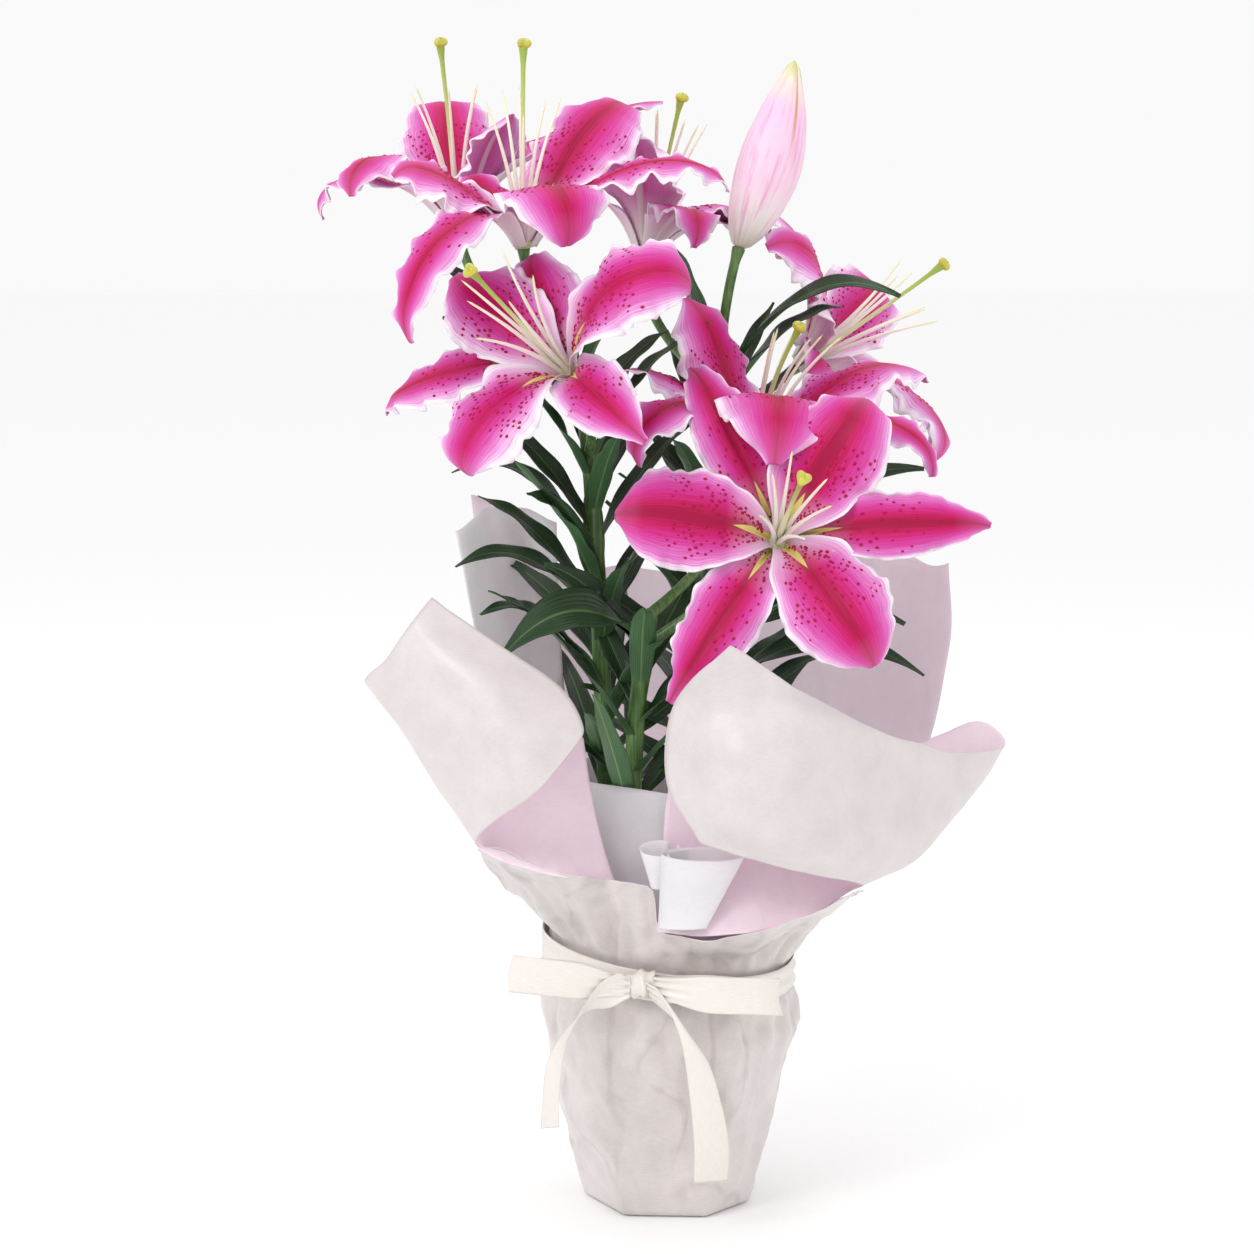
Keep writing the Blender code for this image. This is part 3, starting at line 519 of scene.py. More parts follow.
def bud_skin():
    """Living bud: white-green foot, pale pink sides with rose streaks and a yellow-green point, matt."""
    made, tree = material("lily_bud_grown", 0.45, Subsurface_Weight=0.15, Subsurface_Scale=0.002,
                                  Sheen_Weight=0.25)
    uv = node(tree, "UVMap", uv_map="UVMap")
    split = node(tree, "SeparateXYZ", {0: uv})
    drawn = node(tree, "Mapping", {0: uv, 3: (2.5, 26, 1)})
    streaks = node(tree, "TexNoise", {0: drawn, "Scale": 1.0, "Detail": 5.0, "Roughness": 0.6})
    shifted = node(tree, "MapRange", {0: streaks, 1: 0.25, 2: 0.75, 3: -0.1, 4: 0.1})
    place = node(tree, "Math", {0: split.outputs[0], 1: shifted}, operation="ADD")
    field = node(tree, "ValToRGB", {0: place}, stops=(
        (0.0, "#d6dfc0"), (1.0, "#c4cf78"), (0.14, "#ece9e2"), (0.32, "#f3d3e6"), (0.72, "#f3c6e2"),
        (0.90, "#f1e6d2")))
    veins = node(tree, "ValToRGB", {0: streaks}, stops=((0.50, "#ffffff"), (0.70, "#e79ecb")))
    veined = node(tree, "Mix", {0: 0.75, 6: field, 7: veins}, data_type="RGBA",
                  blend_type="MULTIPLY")
    # One seam between two tepals has browned in a thin line near the tip.
    seam = node(tree, "Math", {0: split.outputs[1], 1: 0.155}, operation="SUBTRACT")
    seam = node(tree, "Math", {0: seam}, operation="ABSOLUTE")
    thin = node(tree, "MapRange", {0: seam, 1: 0.006, 2: 0.014, 3: 1.0, 4: 0.0})
    reach = node(tree, "MapRange", {0: split.outputs[0], 1: 0.45, 2: 0.75, 3: 0.0, 4: 0.9})
    brown = node(tree, "Math", {0: thin, 1: reach}, operation="MULTIPLY")
    final = node(tree, "Mix", {0: brown, 6: veined, 7: "#c98a4a"}, data_type="RGBA")
    bump = node(tree, "Bump", {"Height": streaks, "Strength": 0.3, "Distance": 0.0006})
    return covered(made, final, bump)


def flesh(name, roughness, colours, size, **constants):
    """A small moist grown part, mottled between two colours at this size in millimetres."""
    made, tree = material(name, roughness, **constants)
    place = node(tree, "TexCoord")
    mottle = node(tree, "TexNoise", {0: place.outputs["Object"], "Scale": 1000 / size, "Detail": 3.0})
    field = node(tree, "ValToRGB", {0: mottle}, stops=((0.35, colours[0]), (0.65, colours[1])))
    bump = node(tree, "Bump", {"Height": mottle, "Strength": 0.25, "Distance": 0.0003})
    return covered(made, field, bump)


def leaf(name, roughness, colours, **constants):
    """A lily leaf: parallel veins a millimetre and a half apart, a grooved midrib and uneven green."""
    made, tree = material(name, roughness, **constants)
    along, away, streaks = blade_places(tree)
    tint = node(tree, "Attribute", attribute_name="tint")
    veins = node(tree, "Math", {0: away, 1: 5.5 * math.tau}, operation="MULTIPLY")
    veins = node(tree, "Math", {0: veins}, operation="COSINE")
    shade = node(tree, "Math", {0: streaks, 1: 0.55, 2: 0.0}, operation="MULTIPLY_ADD")
    shade = node(tree, "Math", {0: tint.outputs["Fac"], 1: 0.35, 2: shade}, operation="MULTIPLY_ADD")
    shade = node(tree, "Math", {0: veins, 1: 0.05, 2: shade}, operation="MULTIPLY_ADD")
    field = node(tree, "ValToRGB", {0: shade}, stops=(
        (0.20, colours[0]), (0.75, colours[2]), (0.45, colours[1])))
    rib = node(tree, "MapRange", {0: away, 1: 0.03, 2: 0.10, 3: 0.6, 4: 0.0})
    foot = node(tree, "MapRange", {0: along, 1: 0.0, 2: 0.14, 3: 0.7, 4: 0.0})
    for mask, colour in ((rib, colours[3]), (foot, "#6f9a55")):
        field = node(tree, "Mix", {0: mask, 6: field, 7: colour}, data_type="RGBA")
    bump = node(tree, "Bump", {"Height": veins, "Strength": 0.35, "Distance": 0.0003})
    return covered(made, field, bump)


def stem_skin():
    """Living stem: smooth mid-green skin, streaked lengthwise, with darker and browner patches."""
    made, tree = material("lily_stem_grown", 0.42, Coat_Weight=0.1)
    place = node(tree, "TexCoord")
    drawn = node(tree, "Mapping", {0: place.outputs["Object"], 3: (700, 700, 45)})
    streaks = node(tree, "TexNoise", {0: drawn, "Scale": 1.0, "Detail": 3.0})
    patches = node(tree, "TexNoise", {0: place.outputs["Object"], "Scale": 45.0, "Detail": 3.0})
    mixed = node(tree, "Math", {0: streaks, 1: 0.5, 2: 0.0}, operation="MULTIPLY_ADD")
    mixed = node(tree, "Math", {0: patches, 1: 0.5, 2: mixed}, operation="MULTIPLY_ADD")
    field = node(tree, "ValToRGB", {0: mixed}, stops=(
        (0.35, "#3a5a2c"), (0.66, "#86a660"), (0.50, "#5b8444")))
    bump = node(tree, "Bump", {"Height": streaks, "Strength": 0.3, "Distance": 0.0005})
    return covered(made, field, bump)


def paper(name, dark, light, roughness, creased, **constants):
    """Rolled tissue-weight wrapping paper: cloudy, with short fibres, a faint tooth and creases, with painted
    shade darkening the creases.
    """
    made, tree = material(name, roughness, **constants)
    place = node(tree, "TexCoord")
    clouds = node(tree, "TexNoise", {
        0: place.outputs["Object"], "Scale": 55.0, "Detail": 5.0, "Roughness": 0.6})
    drawn = node(tree, "Mapping", {0: place.outputs["Object"], 2: (0.3, 0.5, 0.4), 3: (260, 900, 1500)})
    fibres = node(tree, "TexNoise", {0: drawn, "Scale": 1.0, "Detail": 3.0, "Roughness": 0.7})
    mixed = node(tree, "Math", {0: clouds, 1: 0.6, 2: 0.0}, operation="MULTIPLY_ADD")
    mixed = node(tree, "Math", {0: fibres, 1: 0.4, 2: mixed}, operation="MULTIPLY_ADD")
    field = node(tree, "ValToRGB", {0: mixed}, stops=((0.36, dark), (0.64, light)))
    # Handling leaves creases a centimetre or two apart, which run mostly up and down, like the gathers.
    drawn = node(tree, "VectorMath", {0: place.outputs["Object"], 1: (1.0, 1.0, 0.45)}, operation="MULTIPLY")
    creases = node(
        tree, "TexNoise", {0: drawn, "Scale": 34.0, "Detail": 2.0, "Offset": 0.9, "Distortion": 0.3},
        noise_type="RIDGED_MULTIFRACTAL")
    # Along the creases the colour is darkened towards grey-brown: painted shade in the folds.
    crease_shade = node(tree, "MapRange", {0: creases, 1: 0.80, 2: 1.10, 3: 0.0, 4: 0.6 * creased})
    crease_shaded = node(tree, "Mix", {0: crease_shade, 6: field, 7: "#a79c99"}, data_type="RGBA")
    folded = node(tree, "Bump", {"Height": creases, "Strength": creased, "Distance": 0.0016})
    bump = node(tree, "Bump", {
        "Height": fibres, "Strength": 0.25, "Distance": 0.0004, "Normal": folded})
    return covered(made, crease_shaded, bump)


def satin():
    """Woven satin ribbon, ivory: its long warp floats give a soft gleam that runs along it."""
    made, tree = material("satin_ribbon_woven", 0.30, Sheen_Weight=0.4, Sheen_Roughness=0.3, Anisotropic=0.5)
    uv = node(tree, "UVMap", uv_map="UVMap")
    # Warp threads are a tenth of a millimetre wide, drawn here three times as coarse so that they show.
    drawn = node(tree, "Mapping", {0: uv, 3: (250, 3300, 1)})
    floats = node(tree, "TexNoise", {0: drawn, "Scale": 1.0, "Detail": 2.0})
    field = node(tree, "ValToRGB", {0: floats}, stops=((0.3, "#e0d9d2"), (0.7, "#ebe5df")))
    bump = node(tree, "Bump", {"Height": floats, "Strength": 0.2, "Distance": 0.0002})
    return covered(made, field, bump)


def peat():
    """Moist potting peat: near-black crumbs and lighter fibres, with no shine."""
    made, tree = material("potting_peat", 0.95)
    place = node(tree, "TexCoord")
    crumbs = node(tree, "TexVoronoi", {0: place.outputs["Object"], "Scale": 420.0})
    lumps = node(tree, "TexNoise", {0: place.outputs["Object"], "Scale": 180.0, "Detail": 6.0})
    field = node(tree, "ValToRGB", {0: lumps}, stops=((0.35, "#1c130c"), (0.7, "#5a4230"), (0.5, "#33241a")))
    bump = node(tree, "Bump", {"Height": crumbs, "Strength": 0.8, "Distance": 0.0012})
    return covered(made, field, bump)


def pot_plastic():
    """Injection-moulded polypropylene, terracotta colour: an even matt face with a fine spark texture."""
    made, tree = material("polypropylene_moulded", 0.5)
    place = node(tree, "TexCoord")
    spark = node(tree, "TexNoise", {0: place.outputs["Object"], "Scale": 1400.0, "Detail": 2.0})
    field = node(tree, "ValToRGB", {0: spark}, stops=((0.3, "#8a4a30"), (0.7, "#9c5a3c")))
    bump = node(tree, "Bump", {"Height": spark, "Strength": 0.2, "Distance": 0.0002})
    return covered(made, field, bump)


TEPAL_FACE = tepal_face()
TEPAL_BACK = tepal_back()
PAPILLA = flesh("lily_papilla_grown", 0.4, ("#9c0838", "#b8104c"), 1.0, Specular_IOR_Level=0.25)
RECEPTACLE = flesh("lily_receptacle_grown", 0.4, ("#a9c07a", "#d3dcae"), 3.0, Subsurface_Weight=0.1)
STIGMA = flesh("lily_stigma_wet", 0.2, ("#b3ae2c", "#c9c544"), 5.0, Coat_Weight=0.6, Coat_Roughness=0.1)
FILAMENT = filament_skin()
STYLE = style_skin()
BUD_SKIN = bud_skin()
LEAF_FACE = leaf("lily_leaf_grown", 0.36, ("#142f14", "#234620", "#3d6d36", "#5c8a4c"), Coat_Weight=0.1)
LEAF_BACK = leaf("lily_leaf_back_grown", 0.5, ("#3a5f3a", "#4f7a4c", "#6b9660", "#88ab74"))
STEM_SKIN = stem_skin()
PEARL = paper("pearl_paper_rolled", "#cdc5c4", "#d9d1d0", 0.42, 0.06, Sheen_Weight=0.25, Coat_Weight=0.12)
PEARL_CREASED = paper("pearl_paper_creased", "#cbc3c1", "#dbd3d1", 0.38, 0.55, Sheen_Weight=0.25,
                      Coat_Weight=0.15)
PINK_PAPER = paper("pink_paper_rolled", "#f8d6e8", "#fde2f0", 0.55, 0.12, Sheen_Weight=0.2,
                   Subsurface_Weight=0.4, Subsurface_Scale=0.004, Subsurface_Radius=(1.0, 0.85, 0.95))
WHITE_PAPER = paper("white_paper_rolled", "#e9e7ea", "#f2f0f3", 0.55, 0.08, Sheen_Weight=0.1,
                    Subsurface_Weight=0.4, Subsurface_Scale=0.004, Subsurface_Radius=(1.0, 0.95, 0.95))
SATIN = satin()
PEAT = peat()
POT_PLASTIC = pot_plastic()


# ---------------------------------------------------------------- lilies

# How far each lily's field is lifted from crimson towards pink
PALENESS = {"front_right": 0.0, "front_left": 0.6, "back_right": 0.6}
USUAL_PALENESS = 0.3
TEPAL_SKIN = 0.0006
CURVE_STEPS = 72
# Tepals are cut this much wider than they end up, because their margins roll back.
FULLNESS = 1.10
# The margin waves in long ruffles, with short frills on them: the lengths of a wave, then the heights
RUFFLE_LENGTHS = (0.022, 0.032)
FRILL_LENGTHS = (0.0095, 0.0125)
RUFFLE_HEIGHT = 0.0034
FRILL_HEIGHT = 0.0017
RIB_DEPTH = 0.0011
PAPILLA_RADII = (0.00048, 0.00092)
RECEPTACLE_RADIUS = 0.0064
FILAMENT_RADIUS = 0.00150
STYLE_RADIUS = 0.00135
STIGMA_RADIUS = 0.0036
STIGMA_DEPTH = 0.0026


def tepal(matrix, hub, outline, azimuth, length, width, spread, curl, curl_start=CURL_START):
    """A petal or a sepal as a function of (u, v): it leans out, opens, curls back and is ruffled."""
    low, high, radius = hub
    length, width = metres((length, width))
    turned = matrix @ Matrix.Rotation(math.radians(azimuth), 4, "Z")
    hook = draw.uniform(5, 50)

    def lean(u):
        """How far the midrib leans away from the lily's axis here."""
        opened = CLAW_LEAN + (spread - CLAW_LEAN) * smooth(u / 0.45)
        curled = curl * max(0, (u - curl_start) / (1 - curl_start)) ** 1.4
        return math.radians(opened + curled + hook * smooth((u - 0.80) / 0.20))

    line = [(radius - 0.0008, (low + high) / 2)]
    for step in range(CURVE_STEPS):
        angle = lean((step + 0.5) / CURVE_STEPS)
        out, up = line[-1]
        out += math.sin(angle) * length / CURVE_STEPS
        up += math.cos(angle) * length / CURVE_STEPS
        line.append((out, up))
    waves = length / draw.uniform(*RUFFLE_LENGTHS)
    frills = length / draw.uniform(*FRILL_LENGTHS)
    phases = (draw.uniform(0, math.tau), draw.uniform(0, math.tau))
    swell = draw.uniform(0.75, 1.25)
    twist = math.radians(draw.uniform(-16, 16))

    def place(u, v):
        index = min(round(u * CURVE_STEPS), CURVE_STEPS)
        out, up = line[index]
        angle = lean(u)
        side = 2 * v - 1
        away = abs(side)
        half = soft_read(outline, u) * width * FULLNESS / 2
        phase = phases[side > 0]
        swing = math.sin(math.tau * waves * u + phase)
        frill = math.sin(math.tau * frills * u + 2 * phase + math.sin(9 * u))
        body = smooth((u - 0.12) / 0.4) * (1 - 0.55 * smooth((u - 0.85) / 0.15))
        ruffle = swell * body * (RUFFLE_HEIGHT * swing * away**3.2 + FRILL_HEIGHT * frill * away**6)
        channel = (0.5 - 0.6 * smooth(u / 0.6)) * away * away * half
        rib = -RIB_DEPTH * math.exp(-((side / 0.07) ** 2)) * (1 - 0.6 * u)
        rolled = -0.20 * half * away**5 * smooth((u - 0.25) / 0.3)
        lift = channel + rib + rolled + ruffle
        reach = side * half * (1 + (0.03 * swing + 0.02 * frill) * away * body - 0.04 * away**4)
        turn = twist * smooth((u - 0.3) / 0.7)
        level = reach * math.cos(turn) - lift * math.sin(turn)
        lift = reach * math.sin(turn) + lift * math.cos(turn)
        return turned @ Vector((out - math.cos(angle) * lift, level, up + math.sin(angle) * lift))

    return place


def papillae(bm, place, count):
    """Small raised spots on the inner face, up to two thirds of its length and thickest beside the midrib."""
    for index in range(count):
        u = 0.09 + 0.58 * ((index + draw.random()) / count) ** 1.1
        away = 0.13 + 0.68 * (index * GOLDEN_SHARE % 1)
        if away > 0.30 + 1.1 * u:
            away *= 0.6
        v = 0.5 + 0.5 * away * draw.choice((-1, 1))
        spot = place(u, v)
        ahead = (place(min(u + 0.02, 1), v) - spot).normalized()
        across = (place(u, min(v + 0.02, 1)) - spot).normalized()
        normal = ahead.cross(across).normalized()
        size = draw.uniform(*PAPILLA_RADII)
        axes = Matrix((ahead * size * 1.35, normal.cross(ahead) * size, normal * size * 0.55))
        axes = axes.transposed().to_4x4()
        axes.translation = spot
        bmesh.ops.create_icosphere(bm, subdivisions=1, radius=1, matrix=axes)


def lily(name, place, axis, stigma, petals, sepals):
    """One open lily: its sepals, its petals, the spots on both, and its middle."""
    matrix = facing(metres(place), axis)
    spots = bmesh.new()
    for whorl, hub, outline, shapes, count in (
        ("sepals", SEPAL_HUB, SEPAL, sepals, 50),
        ("petals", PETAL_HUB, PETAL, petals, 120),
    ):
        bm = bmesh.new()
        for shape in shapes:
            surface = tepal(matrix, hub, outline, *shape)
            patch(bm, CURVE_STEPS, 30, surface, paleness=PALENESS.get(name, USUAL_PALENESS))
            papillae(spots, surface, count)
        faces = (TEPAL_FACE, TEPAL_BACK)
        piece(f"{name}_{whorl}_grown", bm, faces, whorl[:-1], [f"{name}_{whorl}"], TEPAL_SKIN)
    for face in spots.faces:
        face.smooth = True
    piece(f"{name}_papillae", spots, (PAPILLA,), "petal", [], merge=False)
    flower_middle(name, matrix, Vector(metres(stigma)))


def flower_middle(name, matrix, stigma):
    """The receptacle, six bare filaments, and the style with its three-lobed stigma."""
    bm = bmesh.new()
    hub_top = PETAL_HUB[1] + 0.001

    def receptacle(u, v):
        """A low dome with three faint lobes."""
        height = hub_top * (1 - math.cos(u * math.pi)) / 2
        radius = RECEPTACLE_RADIUS * math.sin(u * math.pi) ** 0.7 * (1 + 0.08 * math.cos(3 * v * math.tau))
        return matrix @ polar(radius, -v * math.tau, height)

    patch(bm, 12, 24, receptacle)
    piece(f"{name}_receptacle", bm, (RECEPTACLE,), "sepal", [f"{name}_sepals"])

    def filament_radius(u):
        """It tapers, and closes in a round end."""
        return FILAMENT_RADIUS * (1 - 0.66 * u) * math.sin(min(1, (1 - u) * 14) * math.pi / 2) ** 0.5

    bm = bmesh.new()
    lean = matrix.inverted() @ stigma
    for index in range(6):
        turn = Matrix.Rotation(math.radians(30 + 60 * index), 4, "Z")
        sway = Vector((draw.uniform(-0.006, 0.006), draw.uniform(-0.006, 0.006), draw.uniform(-0.004, 0.002)))
        start = turn @ Vector((0.0022, 0, 0.004))
        control = turn @ Vector((0.005, 0, 0.042)) + sway * 0.3
        end = turn @ Vector((0.019, 0, 0)) + lean * (FILAMENT_LENGTH / lean.length) + sway
        tube(bm, lambda u: matrix @ bend(start, control, end, u), filament_radius, 22, 10)
    piece(f"{name}_filaments_grown", bm, (FILAMENT,), "filament", [f"{name}_stamens"])

    bm = bmesh.new()
    start = matrix @ Vector((0, 0, PISTIL_START - 0.003))
    control = matrix @ Vector((0, 0, PISTIL_START + 0.5 * (stigma - start).length))
    tube(bm, lambda u: bend(start, control, stigma, u),
         lambda u: STYLE_RADIUS + 0.0003 * math.cos(u * 5) + 0.0009 * smooth((u - 0.88) / 0.11), 30, 14)
    ahead = (stigma - bend(start, control, stigma, 0.93)).normalized()
    knob = facing(stigma, ahead)

    def lobes(u, v):
        """The stigma's knob, with a groove between each two of its three lobes."""
        angle = v * math.tau
        radius = STIGMA_RADIUS * math.sin(u * math.pi) ** 0.8 * (1 + 0.16 * math.cos(3 * angle))
        groove = 0.0009 * max(0, -math.cos(3 * angle)) * u
        return knob @ polar(radius, -angle, STIGMA_DEPTH * -math.cos(u * math.pi) - groove)

    patch(bm, 16, 30, lobes, slot=1)
    piece(f"{name}_pistil_grown", bm, (STYLE, STIGMA), "pistil", [f"{name}_pistil"])


def bud():
    """The closed bud: six tepals pressed together, three of them as raised ribs."""
    base, tip = (Vector(point) for point in BUD)
    knob = facing(base, tip - base)
    length = (tip - base).length
    outline = (
        (0, 0.10), (0.04, 0.42), (0.2, 0.80), (0.4, 1.0), (0.55, 0.97), (0.75, 0.70), (0.9, 0.36), (1, 0.12),
    )

    def place(u, v):
        angle = v * math.tau
        ends = math.sin(min(1, u * 30) * math.pi / 2) * math.sin(min(1, (1 - u) * 22) * math.pi / 2)
        ribs = 1 + 0.055 * math.cos(3 * angle) + 0.03 * abs(math.sin(3 * angle)) - 0.03
        radius = soft_read(outline, u) * BUD_RADIUS * ribs * ends
        bowed = 0.0022 * math.sin(u * math.pi)
        return knob @ (polar(radius, -angle, u * length) + Vector((bowed, 0, 0)))

    bm = bmesh.new()
    patch(bm, 64, 72, place)
    piece("bud_grown", bm, (BUD_SKIN,), "bud", ["bud"])


# ---------------------------------------------------------------- stems and leaves

LEAF_SKIN = 0.0005
# The paper is this wide inside up to this height, and opens at 45 degrees above it.
NARROW_REACH = 0.050
SPREADS_FROM = 0.225


def stem_points(stem):
    """The stem's points, from a little under the soil's top."""
    (x, y), *rest = metres(STEMS[stem])
    return [Vector((x, y, SOIL_TOP - 0.004)), *(Vector(point) for point in rest)]


def on_stem(stem, height):
    """The stem's middle at this height."""
    points = stem_points(stem)
    for low, high in zip(points, points[1:]):
        if height <= high.z:
            return low.lerp(high, (height - low.z) / (high.z - low.z))
    return points[-1]


def leaf_blade(foot, tip, arch, width):
    """A long leaf from the stem to its tip: folded along its midrib, with waved edges and a little twist."""
    tip = Vector(tip)
    control = (foot + tip) / 2 + Vector((0, 0, 2 * arch))
    turn = math.radians(LEAF_TURN) * (tip - foot).normalized().x
    twist = math.radians(draw.uniform(-28, 28))
    wave = draw.uniform(0, math.tau)
    waves = draw.uniform(2.2, 3.6)

    def place(u, v):
        centre = bend(foot, control, tip, u)
        ahead = (bend(foot, control, tip, u + 0.01) - bend(foot, control, tip, u - 0.01)).normalized()
        across = Vector((0, 0, 1)).cross(ahead).normalized()
        across.rotate(Quaternion(ahead, turn * smooth(2 * u) + twist * u))
        upward = ahead.cross(across)
        side = 2 * v - 1
        half = soft_read(LEAF, u, 0.08) * width / 2
        edge = 0.0008 * math.sin(waves * math.tau * u + wave + side) * abs(side) ** 2 * smooth(u * 4)
        fold = 0.30 * abs(side) * half * (1 - 0.6 * u) + 0.12 * half * side * side
        return centre + across * side * half + upward * (fold + edge)

    return place


def room_for_leaves(height):
    """How far from the middle a leaf may reach at this height before it meets the paper."""
    return NARROW_REACH + max(0, height - SPREADS_FROM)


def spiral_leaves(stem):
    """The shapes of the stem's other leaves, each stood up until it clears the paper."""
    low, high, count, first = SPIRALS[stem]
    for index in range(count):
        share = index / (count - 1)
        azimuth = first + GOLDEN_ANGLE * index + draw.uniform(-12, 12)
        rise = 34 + 16 * share + draw.uniform(-8, 8)
        length = (0.098 - 0.024 * share) * draw.uniform(0.85, 1.12)
        foot = on_stem(stem, low + (high - low) * share)
        while True:
            level = length * math.cos(math.radians(rise))
            tip = foot + polar(level, math.radians(azimuth), length * math.sin(math.radians(rise)))
            if rise > 78 or Vector((tip.x, tip.y)).length < room_for_leaves(tip.z):
                break
            rise += 4
        yield foot, tip, draw.uniform(0.003, 0.011), draw.uniform(0.0105, 0.0150)


def stalk_ends(name):
    """Where a flower's stalk starts on its stem, the point that it leans towards, and where it ends."""
    stem, height = STALKS[name]
    start = on_stem(stem, height)
    if name == "bud":
        end, ahead = Vector(BUD[0]), Vector(BUD[1])
        axis = (ahead - end).normalized()
    else:
        end, axis = Vector(metres(LILIES[name][0])), Vector(LILIES[name][1]).normalized()
    return start, end - axis * 0.4 * (end - start).length, end + axis * 0.001


def stem_and_leaves(stem):
    """One stem with the stalks that branch from it, and then all its leaves."""
    points = stem_points(stem)
    radii = list(enumerate(STEM_RADII[: len(points)]))
    bm = bmesh.new()

    def radius(u):
        """It tapers upwards, with faint rings where leaves were."""
        rings = 0.035 * max(0, math.sin(u * 40 * math.pi)) ** 6
        ends = math.sin(min(1, (1 - u) * 40) * math.pi / 2)
        return read_off(radii, u * (len(points) - 1)) / 1000 * (1 + rings) * ends

    def stalk_radius(u):
        """It swells under the flower, and a little where it leaves the stem."""
        return (STALK_RADIUS + 0.9 * smooth((u - 0.85) / 0.15) + 0.5 * smooth(1 - u * 6)) / 1000

    tube(bm, lambda u: through(points, u), radius, 120, 20)
    for name, (owner, _) in STALKS.items():
        if owner == stem:
            start, control, end = stalk_ends(name)
            tube(bm, lambda u: bend(start, control, end, u), stalk_radius, 30, 16)
    piece(f"{stem}_stem_grown", bm, (STEM_SKIN,), "stem", [f"stem_{stem}"])
    bm = bmesh.new()
    own = [metres(facts) for owner, *facts in LEAVES if owner == stem]
    shapes = [(on_stem(stem, height), *shape) for height, *shape in own]
    for shape in [*shapes, *spiral_leaves(stem)]:
        patch(bm, 26, 8, leaf_blade(*shape))
    piece(f"{stem}_leaves_grown", bm, (LEAF_FACE, LEAF_BACK), "stem", [f"stem_{stem}"], LEAF_SKIN)


# ---------------------------------------------------------------- pot and soil


def pot():
    """The nursery pot: a thin moulded cup that stands on the paper, with a step below its rim."""
    low = PAPER + 0.0003
    profile = (
        (0.0, low), (POT_BASE_RADIUS, low), (POT_TOP_RADIUS - 0.004, POT_HEIGHT - 0.016),
        (POT_TOP_RADIUS - 0.0015, POT_HEIGHT - 0.015), (POT_TOP_RADIUS, POT_HEIGHT - 0.001),
        (POT_TOP_RADIUS - 0.0006, POT_HEIGHT), (POT_TOP_RADIUS - POT_WALL, POT_HEIGHT - 0.0005),
        (POT_TOP_RADIUS - 0.0055, POT_HEIGHT - 0.016), (POT_BASE_RADIUS - POT_WALL, low + POT_WALL),
        (0.0, low + POT_WALL),
    )
    spun("nursery_pot_moulded", profile, 96, POT_PLASTIC, "pot", "nursery_pot")


def spun(name, profile, steps, finish, slot, node_name):
    """A piece turned from its profile."""
    bm = bmesh.new()
    verts = [bm.verts.new((radius, 0, height)) for radius, height in profile]
    edges = [bm.edges.new(pair) for pair in zip(verts, verts[1:])]
    bmesh.ops.spin(
        bm, geom=verts + edges, cent=(0, 0, 0), axis=(0, 0, 1), angle=math.tau, steps=steps, use_merge=True)
    for face in bm.faces:
        face.smooth = True
    piece(name, bm, (finish,), slot, [node_name])


def soil():
    """Peat, which fills the pot from its floor, heaped a little round each stem, with a crumbly top."""
    foot_radius, foot_height, side_height = 0.0345, 0.0035, 0.0960
    floor_share, side_share = 0.2, 0.4
    heap_height, heap_reach = 0.004, 0.012
    rim = POT_BASE_RADIUS + (POT_TOP_RADIUS - POT_BASE_RADIUS) * SOIL_TOP / POT_HEIGHT - 0.0030
    feet = [stem_points(stem)[0].xy for stem in STEMS]

    def place(u, v):
        if u < floor_share:
            return polar(foot_radius * u / floor_share, v * math.tau, foot_height)
        if u < side_share:
            up = (u - floor_share) / (side_share - floor_share)
            return polar(foot_radius + (rim - foot_radius) * up, v * math.tau, foot_height + side_height * up)
        radius = rim * (1 - (u - side_share) / (1 - side_share))
        spot = polar(radius, v * math.tau, SOIL_TOP)
        heap = sum(heap_height * math.exp(-((spot.xy - foot).length / heap_reach) ** 2) for foot in feet)
        crumbs = 0.0016 * noise.noise(spot * 260) + 0.0020 * noise.noise(spot * 90)
        return spot + Vector((0, 0, heap + crumbs - 0.001))

    bm = bmesh.new()
    patch(bm, 60, 110, place)
    piece("soil_peat", bm, (PEAT,), "soil", ["soil"])


# ---------------------------------------------------------------- paper

SHEET = 0.00035


def corner_radius(azimuth, radius):
    """The radius of the wrap's flat-sided bottom, whose corners lie at CORNERS."""
    corners = (*CORNERS, CORNERS[0] + 360)
    for first, second in zip(corners, corners[1:]):
        turned_to = azimuth + 360 if azimuth < first else azimuth
        if first <= turned_to <= second:
            half = math.radians(second - first) / 2
            middle = math.radians((first + second) / 2)
            return radius * math.cos(half) / math.cos(math.radians(turned_to) - middle)
    return radius


def neck_line(angle):
    """How far the middle of the band lies above NECK_HEIGHT, since the ribbon is tied at a tilt."""
    return 0.004 * math.sin(angle) - 0.008 * math.cos(angle) - 0.003


